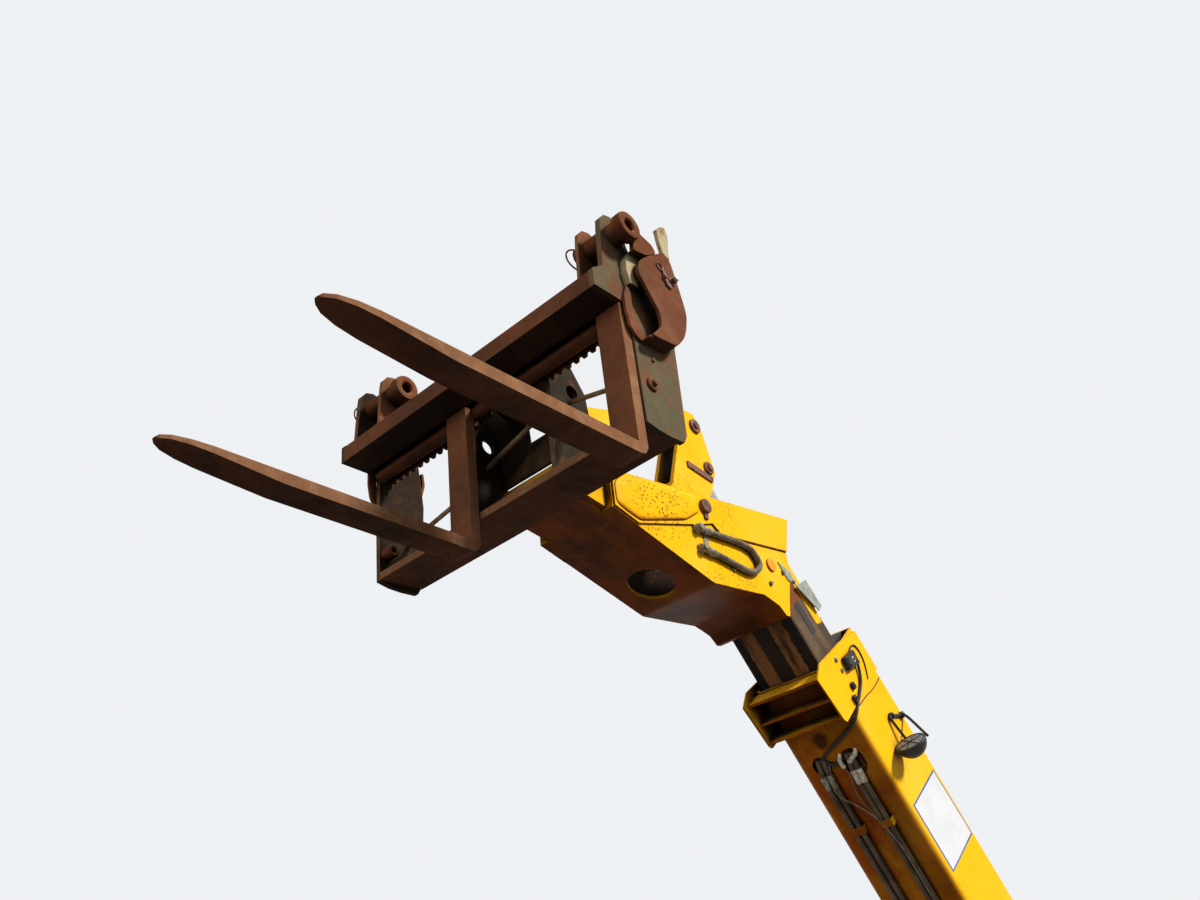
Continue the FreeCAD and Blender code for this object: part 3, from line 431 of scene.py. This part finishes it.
class Part:
    """A mesh put together in millimetres, in the boom's or the forks' own space."""

    def __init__(self, name, space):
        self.name = name
        self.space = space
        self.mesh = bmesh.new()

    def point(self, a, y, b):
        return self.space @ (Vector((a, y, b)) * MM)

    def axes(self, start, end):
        """An axis's ends in the frame, and two directions square to it."""
        start, end = self.point(*start), self.point(*end)
        ahead = (end - start).normalized()
        aside = ahead.orthogonal().normalized()
        return start, end, aside, ahead.cross(aside)

    def circle(self, middle, aside, up, radius, sides, shift=0.0):
        """A loop of corners round a point, the first one shift of a side on."""
        corners = []
        for k in range(sides):
            turn = 2 * math.pi * (k + shift) / sides
            out = math.cos(turn) * aside + math.sin(turn) * up
            corners.append(self.mesh.verts.new(middle + radius * MM * out))
        return corners

    def skin(self, loops, smooth=True, closed=False):
        """Faces between each loop of corners and the next."""
        for low, high in zip(loops, loops[1:] + (loops[:1] if closed else [])):
            for k in range(len(low)):
                n = (k + 1) % len(low)
                self.mesh.faces.new((low[k], low[n], high[n], high[k])).smooth = smooth

    def slab(self, outline, lo, hi):
        """A plate with its outline in the side view, from lo to hi across."""
        ends = [[self.mesh.verts.new(self.point(a, y, b)) for a, b in outline] for y in (lo, hi)]
        for end in ends:
            self.mesh.faces.new(end)
        self.skin(ends, False)

    def drum(self, start, end, profile, sides=32, smooth=True):
        """A closed round body; its profile is pairs of the share of the way and a radius."""
        low, high, aside, up = self.axes(start, end)
        loops = [self.circle(low.lerp(high, share), aside, up, radius, sides, 0.5)
                 for share, radius in profile]
        self.skin(loops, smooth)
        self.mesh.faces.new(loops[0])
        self.mesh.faces.new(loops[-1])

    def turned(self, start, end, profile, sides=48):
        """A turned body with a bore, from a profile that runs out and back inside."""
        low, high, aside, up = self.axes(start, end)
        self.skin([self.circle(low.lerp(high, share), aside, up, radius, sides)
                   for share, radius in profile], closed=True)

    def ring(self, centre, normal, radius, thick, sides=28):
        """A closed round wire, thick in radius."""
        middle = self.point(*centre)
        axis = (self.space.to_3x3() @ Vector(normal)).normalized()
        aside = axis.orthogonal().normalized()
        up = axis.cross(aside)
        loops = []
        for k in range(sides):
            turn = 2 * math.pi * k / sides
            out = math.cos(turn) * aside + math.sin(turn) * up
            loops.append(self.circle(middle + radius * MM * out, out, axis, thick, 8))
        self.skin(loops, closed=True)

    def pillow(self, outline, base, rise, side=1):
        """A low bulge on a plate's face, flat at its middle and round at its edge."""
        middle = sum((Vector(corner) for corner in outline), Vector((0, 0))) / len(outline)
        loops = []
        for share, height in ((1, 0), (0.97, 0.35), (0.9, 0.68), (0.78, 0.88), (0.6, 0.97),
                              (0.35, 1)):
            y = side * (base + rise * height)
            spots = [middle.lerp(Vector(corner), share) for corner in outline]
            loops.append([self.mesh.verts.new(self.point(a, y, b)) for a, b in spots])
        self.skin(loops)
        self.mesh.faces.new(loops[0])
        self.mesh.faces.new(loops[-1]).smooth = True

    def bolt(self, a, y, b, size=12, side=1):
        """A hexagon bolt head on its washer, standing out from a plate's face at y."""
        washer = y + side * size * 0.2
        top = y + side * size * 0.95
        self.drum((a, y, b), (a, washer, b), ((0, size * 1.35), (1, size * 1.3)), 24)
        self.drum((a, washer, b), (a, top, b), ((0, size), (0.85, size), (1, size * 0.88)),
                  6, False)

    def finish(self, material, body, soften=0.8):
        bmesh.ops.recalc_face_normals(self.mesh, faces=self.mesh.faces[:])
        data = bpy.data.meshes.new(self.name)
        self.mesh.to_mesh(data)
        self.mesh.free()
        obj = linked(self.name, data, material)
        if soften:
            bevel = obj.modifiers.new("soft_edges", "BEVEL")
            bevel.width = soften * MM
            bevel.segments = 2
            bevel.limit_method = "ANGLE"
            bevel.angle_limit = math.radians(35)
        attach(obj, body)
        return obj


def linked(name, data, material):
    """An object of a mesh or curve, in the scene and with its finish."""
    data.materials.append(material)
    obj = bpy.data.objects.new(name, data)
    bpy.context.scene.collection.objects.link(obj)
    return obj


def tube(name, space, route, radius, material, body, order=3):
    """A smooth round cord, wire or bent rod through a route, in millimetres."""
    data = bpy.data.curves.new(name, "CURVE")
    data.dimensions = "3D"
    data.bevel_depth = radius * MM
    data.bevel_resolution = 4
    data.resolution_u = 8
    data.use_fill_caps = True
    line = data.splines.new("NURBS")
    line.points.add(len(route) - 1)
    for spot, corner in zip(line.points, route):
        spot.co = (*(space @ (Vector(corner) * MM)), 1.0)
    line.order_u = order
    line.use_endpoint_u = True
    obj = linked(name, data, material)
    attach(obj, body)
    return obj


def box(a, b, half_a, half_b):
    """A rectangle's outline round a point."""
    return [(a - half_a, b - half_b), (a + half_a, b - half_b), (a + half_a, b + half_b),
            (a - half_a, b + half_b)]


# y of the faces that small parts sit on, in millimetres
OUTER_FACE, COLLAR_FACE, SENSOR_FACE = 177, 185, 207
HEAD_FACE, NOSE_FACE, DOUBLER_FACE = 182, 178, 186
LEVER_FACE, LINK_EAR_FACE, HITCH_FACE = 55, 56, 226
SIDE_PLATE_FACE, HOOK_FACE, HOOK_BACK = 654, 708, 694
# the flag pins' axis, and for each the y of its ends and of its handle's faces
FLAG_PIN_X, FLAG_PIN_Z = -15, 808
FLAG_PINS = (("left", 506, 730, 694, 712), ("right", -668, -420, -476, -458))
# the hoses' w under the outer boom and the u where they are held, and for each pair its
# ferrules' finish and each hose's u and y in its hole and its y below
HOSE_W = -228
HOSE_STATIONS = (2230, 2100, 1770, 1500, 1020, 840, 722)
HOSE_PAIRS = (("left", ELBOW, ((2534, 76, 85), (2534, 56, 60))),
              ("right", FITTING, ((2545, -52, -48), (2545, -78, -79))))


def make_hoses():
    """The four clipped hoses, round, with crimped ends."""
    for name, ferrule_finish, pair in HOSE_PAIRS:
        made = []
        for n, (start, hole_y, y) in enumerate(pair, 1):
            route = [(start, hole_y, -196), (start - 39, (hole_y + y) / 2, -212),
                     (start - 78, y, HOSE_W), (start - 150, y, HOSE_W)]
            route += [(u, y, HOSE_W) for u in HOSE_STATIONS]
            made.append(tube("hose_%s_%d" % (name, n), BOOM, route, 11, RUBBER, "outer"))
            sleeve = Part("hose_sleeve_%s_%d" % (name, n), BOOM)
            sleeve.drum((711, y, HOSE_W), (732, y, HOSE_W), ((0, 15), (0.9, 15), (1, 13.5)),
                        6, False)
            sleeve.drum((732, y, HOSE_W), (790, y, HOSE_W),
                        ((0, 12), (0.05, 13), (0.9, 13), (1, 11.6)), 20)
            sleeve.finish(FITTING, "outer", 0.5)
            ferrule = Part("hose_ferrule_%s_%d" % (name, n), BOOM)
            ferrule.drum((start - 62, y, -223.5), (start - 122, y, HOSE_W),
                         ((0, 11.6), (0.06, 14), (0.45, 14), (0.5, 13), (0.94, 13), (1, 11.6)),
                         20)
            ferrule.finish(ferrule_finish, "outer", 0)
        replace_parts(made[0], "hoses_" + name)


def make_wires():
    """Elbows, a cable and two wires below the holes that the hoses come from."""
    for name, radius, finish, route in (
            ("hose_elbow_1", 10, ELBOW, ((2556, 108, -188), (2530, 106, -212), (2522, 84, -216),
                                         (2506, 62, -218))),
            ("hose_elbow_2", 10, ELBOW, ((2552, 34, -188), (2536, 30, -210), (2516, 22, -217),
                                         (2490, 30, -219))),
            ("hole_cable", 6, CABLE, ((2548, -44, -186), (2530, -36, -212), (2512, -8, -219),
                                      (2516, 22, -214), (2524, 46, -186))),
            ("wire_across", 2.6, WIRE, ((2545, -30, -188), (2500, -34, -216), (2440, -56, -240),
                                        (2389, -51, -241.5), (2340, -3, -241.5),
                                        (2268, 48, -241.5), (2191, 72, -241.5),
                                        (2105, 84, -241.5), (1990, 84, -241.5),
                                        (1812, 84, -241.5))),
            ("wire_beside", 2.2, WIRE, ((2530, 20, -188), (2490, 30, -214), (2439, 33, -222),
                                        (2380, 20, -226), (2330, 22, -226), (2270, 44, -228),
                                        (2236, 46, -226)))):
        tube(name, BOOM, route, radius, finish, "outer")


def make_lamp():
    """A round work lamp with a ribbed lens, bezel and a domed back, on its bent rod."""
    u, y, w = 2425, 247, -26
    shell = Part("work_lamp_shell", BOOM)
    shell.drum((u - 64, y, w), (u, y, w), ((0, 12), (0.05, 24), (0.15, 36), (0.3, 48), (0.5, 58),
                                           (0.72, 65), (0.95, 68), (1, 66)), 48)
    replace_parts(shell.finish(BLACK, "outer", 0), "work_lamp")
    lens = Part("work_lamp_lens", BOOM)
    lens.drum((u, y, w), (u + 2, y, w), ((0, 60), (0.5, 58), (1, 50)), 48)
    lens.finish(GLASS, "outer", 0)
    bezel = Part("work_lamp_bezel", BOOM)
    bezel.ring((u - 1, y, w), (1, 0, 0), 62, 4.2, 48)
    for turn in (-0.9, 0.0, 0.9):
        across, down = 58 * math.sin(turn), 58 * math.cos(turn)
        bezel.drum((u + 3, y + across, w - down), (u + 3, y - across, w + down),
                   ((0, 1.8), (1, 1.8)), 8)
    bezel.finish(BLACK, "outer", 0)
    rod = tube("lamp_bent_rod", BOOM,
               [(2412, 310.5, 14.8), (2430, 264, 81), (2450, 213, 154), (2459, 186, 187),
                (2478, 185.3, 150), (2512, 185.3, 84), (2528, 186, 52), (2490, 192, 46),
                (2440, 202, 41), (2412, 207.5, 38.2)], 6, BLACK, "outer")
    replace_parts(rod, "lamp_bracket")
    clip = Part("lamp_rod_clips", BOOM)
    for a, b in ((2472, 162), (2517, 74)):
        clip.slab(box(a, b, 12, 9), OUTER_FACE, 195)
        clip.bolt(a, 195, b, 6)
    clip.finish(BLACK, "outer")


def make_boom_details():
    """Sensor wiring, label plate, weld beads and bolts on the outer boom."""
    for name, radius, route in (
            ("sensor_cable", 6, [(2789, 197, 30), (2740, 194, 0), (2712, 192, -70),
                                 (2690, 191, -150), (2672, 186, -180), (2655, 176, -212),
                                 (2625, 120, -214), (2585, 20, -213), (2545, -60, -211),
                                 (2530, -66, -199)]),
            ("sensor_lead", 3, [(2851, 190, 40), (2862, 192, 80), (2840, 189, 118),
                                (2790, 188, 122), (2740, 188, 96), (2706, 187, 60)]),
            ("thin_wire", 2, [(2654, 178.5, 176), (2650, 179, 90), (2668, 179, -20),
                              (2672, 179, -110), (2680, 178.6, -156)])):
        tube(name, BOOM, route, radius, CABLE, "outer")
    clips = Part("wire_clips", BOOM)
    for a, b in ((2754, -96), (2716, -140)):
        clips.slab(box(a, b, 14, 10), COLLAR_FACE, 199)
        clips.bolt(a, 199, b, 5)
    clips.finish(BLACK, "outer")
    lid = Part("sensor_cover", BOOM)
    lid.slab([(2814, -58), (2857, -50), (2846, 36), (2796, 30)], SENSOR_FACE, SENSOR_FACE + 3)
    for a, b in ((2822, -48), (2849, -43), (2840, 28), (2803, 22)):
        lid.bolt(a, SENSOR_FACE + 3, b, 3.5)
    lid.finish(BLACK, "outer", 0.4)
    eye = Part("sensor_ring", BOOM)
    eye.ring((2828, SENSOR_FACE + 4, -8), (0, 1, 0), 11, 2.2)
    eye.finish(ELBOW, "outer", 0)
    edge = Part("label_plate_border", BOOM)
    edge.slab([(2199, 168), (1872, 176), (1908, -154), (2226, -154)],
              OUTER_FACE, OUTER_FACE + 0.6)
    edge.finish(LABEL_EDGE, "outer", 0)
    label = Part("label_plate", BOOM)
    label.slab([(2192, 160), (1881, 167), (1915, -146), (2218, -146)],
               OUTER_FACE + 0.6, OUTER_FACE + 1.2)
    label.finish(WHITE, "outer", 0)
    for side, name in SIDES:
        tube("collar_weld_" + name, BOOM, [(2690, side * 178, 188), (2690, side * 178.5, 60),
                                           (2690, side * 178.5, -60), (2690, side * 178, -156)],
             4, OUTER_PAINT, "outer")
        bolts = Part("wear_pad_bolts_" + name, BOOM)
        for a in (2830, 2880):
            bolts.bolt(a, side * COLLAR_FACE, -100, 9, side)
        bolts.finish(FITTING, "outer", 0.4)
    rims = Part("boom_pivot_rims", BOOM)
    for side in (1, -1):
        rims.ring((0, side * 197, 0), (0, 1, 0), 56, 4, 48)
    rims.finish(OUTER_PAINT, "outer", 0)


def make_head_details():
    """The plug and nuts on the head, and a black plate on the inner boom as the painted shade of a
    slot.
    """
    plug = Part("head_plug", BOOM)
    plug.drum((3357, HEAD_FACE, -150), (3357, HEAD_FACE + 5, -150),
              ((0, 28), (0.6, 28), (1, 25)), 40)
    plug.finish(PLUG_PAINT, "inner", 0)
    # a black sheet standing for the dark recess of a slot: painted shade
    slot = Part("inner_slot_shade", BOOM)
    slot.slab(rounded([(3007, -91), (3158, -91), (3158, -52), (3007, -52)], 8), 150, 151.6)
    slot.finish(CABLE, "inner", 0)
    nuts = Part("head_nuts", BOOM)
    for a, y, b in ((3556, NOSE_FACE, -523), (3453, NOSE_FACE, -428), (3305, HEAD_FACE, -229),
                    (3296, HEAD_FACE, -92), (3236, HEAD_FACE, -60)):
        nuts.bolt(a, y, b, 8)
    nuts.finish(FITTING, "inner", 0.4)


def make_jumper():
    """The jumper hose between two couplers on the head, with their turned fittings."""
    y = 192
    fittings = Part("jumper_fittings", BOOM)
    for a, b, to_a, to_b in ((3671, -515, -0.591, 0.807), (3602, -560, -0.681, 0.732)):
        collar, crimp, end = ((a + far * to_a, y, b + far * to_b) for far in (12, 30, 72))
        fittings.drum((a, NOSE_FACE, b), (a, NOSE_FACE + 10, b), ((0, 22), (0.8, 22), (1, 20)),
                      6, False)
        fittings.drum((a, 206, b), (a, 213, b), ((0, 14), (0.7, 14), (1, 11)), 24)
        fittings.drum(collar, crimp, ((0, 15), (1, 15)), 6, False)
        fittings.drum(crimp, end, ((0, 14.5), (0.9, 14.5), (1, 12.8)), 24)
    fittings.slab([(3585, -540), (3625, -500), (3650, -470), (3640, -455), (3560, -520)],
                  NOSE_FACE, NOSE_FACE + 4)
    fittings.finish(FITTING, "inner", 0.5)
    route = [(3660.6, -501), (3610, -434), (3548, -340), (3478, -252), (3430, -240),
             (3388, -252), (3386, -300), (3404, -352), (3480, -428), (3540, -490),
             (3590.4, -547.6)]
    jumper = tube("jumper_hose", BOOM, [(a, y, b) for a, b in route], 12.5, JUMPER, "inner")
    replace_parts(jumper, "coupler_hose")


def make_nose_details():
    """Bulges, pin keepers, weld beads and boss rims on the head's bent nose."""
    nose = [(3996, -846), (3997, -768), (3902, -606), (3812, -456), (3762, -396), (3712, -440),
            (3722, -560), (3826, -830), (3880, -872), (3928, -900)]
    seam = [(3824, 179, -842), (3755, 179.5, -668), (3684, 179.5, -496), (3668, 179.5, -446),
            (3647, 179.5, -392), (3620, 179.5, -384), (3590, 179.5, -377), (3500, 179.5, -230),
            (3420, 179.5, -97), (3346, 179, 24)]
    for side, name in SIDES:
        bulge = Part("doubler_bulge_" + name, BOOM)
        bulge.pillow(rounded(nose, 22), DOUBLER_FACE - 0.5, 11, side)
        bulge.finish(HEAD_PAINT, "inner", 0)
        keeper = Part("lever_pin_keeper_" + name, BOOM)
        keeper.slab([(3668, -416), (3682, -432), (3712, -404), (3698, -388)],
                    side * DOUBLER_FACE, side * (DOUBLER_FACE + 8))
        keeper.drum((3716.3, side * 198, -387), (3716.3, side * 204, -387),
                    ((0, 30), (0.5, 30), (1, 25)), 40)
        keeper.finish(PIN_STEEL, "inner", 0.6)
        tube("head_seam_weld_" + name, BOOM, [(a, side * y, b) for a, y, b in seam],
             3.4, HEAD_PAINT, "inner", 2)
        tube("nose_weld_" + name, BOOM, [(4001, side * 151, -846), (4004, side * 151, -800),
                                         (4001, side * 151, -764)], 5, HEAD_PAINT, "inner")
    band = Part("hinge_boss_rims", BOOM)
    for side in (1, -1):
        band.ring((4095.9, side * 149, -983.4), (0, 1, 0), 48, 4, 48)
    band.finish(HEAD_PAINT, "inner", 0)


def make_linkage_details():
    """Pin heads on the tilt lever and link, and the keeper bar at the lever's lower pin."""
    heads = Part("lever_pin_heads", FORK)
    for x, z, radius in ((-1195, 858, 34), (-1242, 662, 30)):
        for side in (1, -1):
            heads.drum((x, side * LEVER_FACE, z), (x, side * (LEVER_FACE + 11), z),
                       ((0, radius), (0.75, radius), (1, radius - 4)), 40)
            heads.drum((x, side * (LEVER_FACE + 11), z), (x, side * (LEVER_FACE + 19), z),
                       ((0, 16), (0.7, 16), (1, 13)), 28)
    heads.finish(PIN_STEEL, "lever", 0)
    bar = Part("lever_keeper_bar", FORK)
    bar.slab(rounded([(-1092, 646), (-1092, 616), (-1255, 594), (-1262, 622)], 6),
             LEVER_FACE, LEVER_FACE + 7)
    bar.finish(PIN_STEEL, "lever")
    ends = Part("link_pin_washers", FORK)
    for side in (1, -1):
        ends.drum((-215, side * LINK_EAR_FACE, 560), (-215, side * (LINK_EAR_FACE + 4), 560),
                  ((0, 38), (1, 38)), 36)
        ends.drum((-215, side * (LINK_EAR_FACE + 4), 560), (-215, side * 70, 560),
                  ((0, 18), (1, 16)), 6, False)
    ends.finish(PIN_STEEL, "carriage", 0.5)


def make_carriage_details():
    """Braces, rings, nuts, bosses and bolt heads on the fork carriage."""
    brace = Part("carriage_braces", FORK)
    for y0, z0, y1, z1 in ((227, 457, 633, 354), (-633, 297, -227, 362), (-205, 401, 205, 513)):
        brace.drum((-200, y0, z0), (-200, y1, z1), ((0, 9), (1, 9)), 12)
    brace.finish(BRACE, "carriage", 0)
    small = Part("hook_fasteners", FORK)
    small.ring((-174, 710, 732), (0, 1, 0), 15, 3.5)
    small.drum((-186, HOOK_FACE, 690), (-186, 722, 690), ((0, 9), (1, 8)), 6, False)
    small.drum((-228, HOOK_FACE, 692), (-228, 714, 692), ((0, 17), (1, 16)), 28)
    small.drum((-228, 714, 692), (-228, 728, 692), ((0, 12), (0.9, 12), (1, 10)), 6, False)
    small.finish(PIN_STEEL, "carriage", 0.5)
    nut = Part("hook_bright_nut", FORK)
    nut.drum((-228, 728, 692), (-228, 738, 692), ((0, 9), (0.8, 9), (1, 7)), 6, False)
    nut.finish(BRIGHT, "carriage", 0.5)
    arm = Part("hook_catch_arm", FORK)
    arm.slab(rounded([(-180, 720), (-192, 716), (-206, 676), (-222, 664), (-214, 652),
                      (-192, 660), (-182, 690)], 5), HOOK_FACE, HOOK_FACE + 8)
    arm.finish(PIN_STEEL, "carriage")
    lock = Part("side_plate_lock", FORK)
    lock.turned((-75, -634, 195), (-75, -584, 195), ((0, 25), (0.9, 25), (1, 21), (1, 11),
                                                     (0.3, 11), (0.3, 14), (0, 14)), 36)
    lock.finish(HOOK_STEEL, "carriage", 0)
    for side, name, loop_y in ((1, "left", 500), (-1, "right", -674)):
        boss = Part("side_plate_bosses_" + name, FORK)
        boss.drum((-99, side * SIDE_PLATE_FACE, 243), (-99, side * (SIDE_PLATE_FACE + 10), 243),
                  ((0, 24), (0.8, 24), (1, 20)), 32)
        boss.bolt(-99, side * (SIDE_PLATE_FACE + 10), 243, 11, side)
        boss.bolt(-125, side * SIDE_PLATE_FACE, 348, 7, side)
        boss.finish(RUST, "carriage", 0.5)
        loop = Part("flag_pin_loop_" + name, FORK)
        loop.ring((-15, loop_y, FLAG_PIN_Z), (0.25, 1, 0.1), 52, 3, 36)
        loop.finish(RUST, "carriage", 0)
    cheeks = Part("hinge_pin_heads", FORK)
    for side in (1, -1):
        cheeks.drum((-262, side * HITCH_FACE, 235), (-262, side * (HITCH_FACE + 10), 235),
                    ((0, 46), (0.8, 46), (1, 42)), 40)
    cheeks.finish(PIN_STEEL, "carriage", 0)


def make_hooks():
    """The open hooks beside the frame: a curved outer plate on a folded rim."""
    plate = [(-70, 702), (-142, 768), (-209, 815), (-243, 801), (-259, 729), (-279, 630),
             (-285, 577), (-266, 508), (-246, 464), (-197, 407), (-71, 393), (-132, 455),
             (-135, 507), (-112, 545), (-80, 596), (-48, 644)]
    rim = [(-71, 393), (-197, 407), (-246, 464), (-266, 508), (-285, 577), (-279, 630),
           (-267, 630), (-273, 578), (-254, 511), (-235, 470), (-191, 419), (-76, 405)]
    cheek = [(-32, 602), (-13, 550), (-12, 492), (-22, 430), (-46, 402), (-71, 393),
             (-90, 396), (-76, 412), (-58, 436), (-46, 490), (-50, 590)]
    for side, name in SIDES:
        hook = Part("hook_" + name, FORK)
        hook.slab(rounded(plate, 26), side * HOOK_BACK, side * HOOK_FACE)
        hook.slab(rounded(rim, 9), side * SIDE_PLATE_FACE, side * (HOOK_BACK + 0.5))
        hook.slab(rounded(cheek, 12), side * SIDE_PLATE_FACE, side * (SIDE_PLATE_FACE + 12))
        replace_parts(hook.finish(HOOK_STEEL, "carriage", 2.5), "hook_housing_" + name)


def make_flag_pins():
    """The hollow flag pins on top of the carriage, each with a collar and a flat handle."""
    handle = [(-15, 853), (-60, 833), (-147, 808), (-162, 780), (-102, 738), (-40, 726),
              (-44, 760), (-44, 836)]
    profile = ((0, 39), (0.015, 41.6), (0.8, 41.6), (0.82, 50), (0.85, 53), (0.97, 53), (1, 50),
               (1, 28), (0.97, 21), (0, 21))
    for name, near, far, low, high in FLAG_PINS:
        pin = Part("flag_pin_body_" + name, FORK)
        pin.turned((FLAG_PIN_X, near, FLAG_PIN_Z), (FLAG_PIN_X, far, FLAG_PIN_Z), profile)
        pin.slab(rounded(handle, 10), low, high)
        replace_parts(pin.finish(HOOK_STEEL, "carriage", 2), "flag_pin_" + name)


def make_fork_details():
    """A locating latch on top of each fork's eye and a weld bead round the eye."""
    latch_outline = [(-22, 556), (-22, 564), (-34, 566), (-66, 566), (-80, 563), (-80, 552),
                     (-52, 561.8)]
    for name, middle in (("left", 598), ("right", -137)):
        latch = Part("fork_latch_" + name, FORK)
        latch.slab(latch_outline, middle - 14, middle + 14)
        latch.finish(FORK_STEEL, "fork_" + name)
        weld = Part("fork_eye_weld_" + name, FORK)
        for y in (middle + 31, middle - 31):
            weld.drum((-8, y, 486), (-8, y, 524), ((0, 4), (1, 4)), 10)
        weld.finish(FORK_STEEL, "fork_" + name, 0)


# STAGE, LIGHT AND CAMERA

FLOOR_Z = -0.34
FLOOR_SIZE = 40.0
PALE = (0.60, 0.61, 0.62, 1.0)
BOUNCE = (0.115, 0.102, 0.095, 1.0)
BACKDROP = (0.86, 0.88, 0.90, 1.0)
SKY_FILL = (0.80, 0.86, 0.95, 1.0)
BACKDROP_STRENGTH = 1.0
FILL_STRENGTH = 0.34
# name, strength, spread in degrees, colour and way of the light: the sun comes from above
# on the machine's left, and a weak light from the front
LIGHTS = (("key_light", 4.9, 9, (1.0, 0.96, 0.90), Vector((0.20, -0.70, -0.66))),
          ("front_light", 0.95, 40, (1.0, 0.94, 0.88), Vector((-0.96, -0.10, -0.05))))

CAMERA_AT = Vector((5.8028, 2.2700, -0.3068))
CAMERA_FORWARD = Vector((-0.564, -0.537, 0.627))
CAMERA_RIGHT = Vector((-0.689, 0.724, 0.001))
LENS_MM = 33.0
SENSOR_MM = 36.0


def camera_sees(tree):
    """1 for camera, gloss and see-through rays, 0 for the rays that light the object."""
    path = tree.nodes.new("ShaderNodeLightPath")
    seen = path.outputs["Is Camera Ray"]
    for ray in ("Is Glossy Ray", "Is Transmission Ray"):
        either = tree.nodes.new("ShaderNodeMath")
        either.operation = "MAXIMUM"
        tree.links.new(seen, either.inputs[0])
        tree.links.new(path.outputs[ray], either.inputs[1])
        seen = either.outputs[0]
    return seen


def make_floor():
    """A pale floor, which throws a darker, warmer light on the object than it shows."""
    mesh = bpy.data.meshes.new("studio_floor")
    half = FLOOR_SIZE / 2
    corners = [(-half, -half, FLOOR_Z), (half, -half, FLOOR_Z), (half, half, FLOOR_Z),
               (-half, half, FLOOR_Z)]
    mesh.from_pydata(corners, [], [(0, 1, 2, 3)])
    floor = bpy.data.objects.new("studio_floor", mesh)
    bpy.context.scene.collection.objects.link(floor)
    s = Shader("studio_floor")
    s.set(Base_Color=s.mix(camera_sees(s.tree), BOUNCE, PALE), Roughness=0.9)
    mesh.materials.append(s.material)


def make_world():
    """A pale backdrop for the camera and a weaker, plain sky light for the object."""
    world = bpy.data.worlds.new("studio")
    bpy.context.scene.world = world
    world.use_nodes = True
    tree = world.node_tree
    tree.nodes.clear()
    output = tree.nodes.new("ShaderNodeOutputWorld")
    choose = tree.nodes.new("ShaderNodeMixShader")
    tree.links.new(camera_sees(tree), choose.inputs[0])
    for slot, colour, strength in ((1, SKY_FILL, FILL_STRENGTH),
                                   (2, BACKDROP, BACKDROP_STRENGTH)):
        light = tree.nodes.new("ShaderNodeBackground")
        light.inputs["Color"].default_value = colour
        light.inputs["Strength"].default_value = strength
        tree.links.new(light.outputs[0], choose.inputs[slot])
    tree.links.new(choose.outputs[0], output.inputs["Surface"])


def make_lights():
    for name, strength, spread, colour, way in LIGHTS:
        lamp = bpy.data.lights.new(name, "SUN")
        lamp.energy = strength
        lamp.angle = math.radians(spread)
        lamp.color = colour
        light = bpy.data.objects.new(name, lamp)
        light.rotation_euler = way.to_track_quat("-Z", "Y").to_euler()
        bpy.context.scene.collection.objects.link(light)


def make_camera():
    lens = bpy.data.cameras.new("camera")
    lens.lens, lens.sensor_width, lens.sensor_fit = LENS_MM, SENSOR_MM, "HORIZONTAL"
    camera = bpy.data.objects.new("camera", lens)
    forward = CAMERA_FORWARD.normalized()
    right = (CAMERA_RIGHT - CAMERA_RIGHT.dot(forward) * forward).normalized()
    up = right.cross(forward)
    turn = Matrix((right, up, -forward)).transposed().to_4x4()
    camera.matrix_world = Matrix.Translation(CAMERA_AT) @ turn
    bpy.context.scene.collection.objects.link(camera)
    bpy.context.scene.camera = camera


make_camera()
dress_nodes()
make_hoses()
make_wires()
make_lamp()
make_boom_details()
make_head_details()
make_jumper()
make_nose_details()
make_linkage_details()
make_carriage_details()
make_hooks()
make_flag_pins()
make_fork_details()
make_floor()
make_world()
make_lights()
bpy.context.scene.view_settings.view_transform = "Standard"
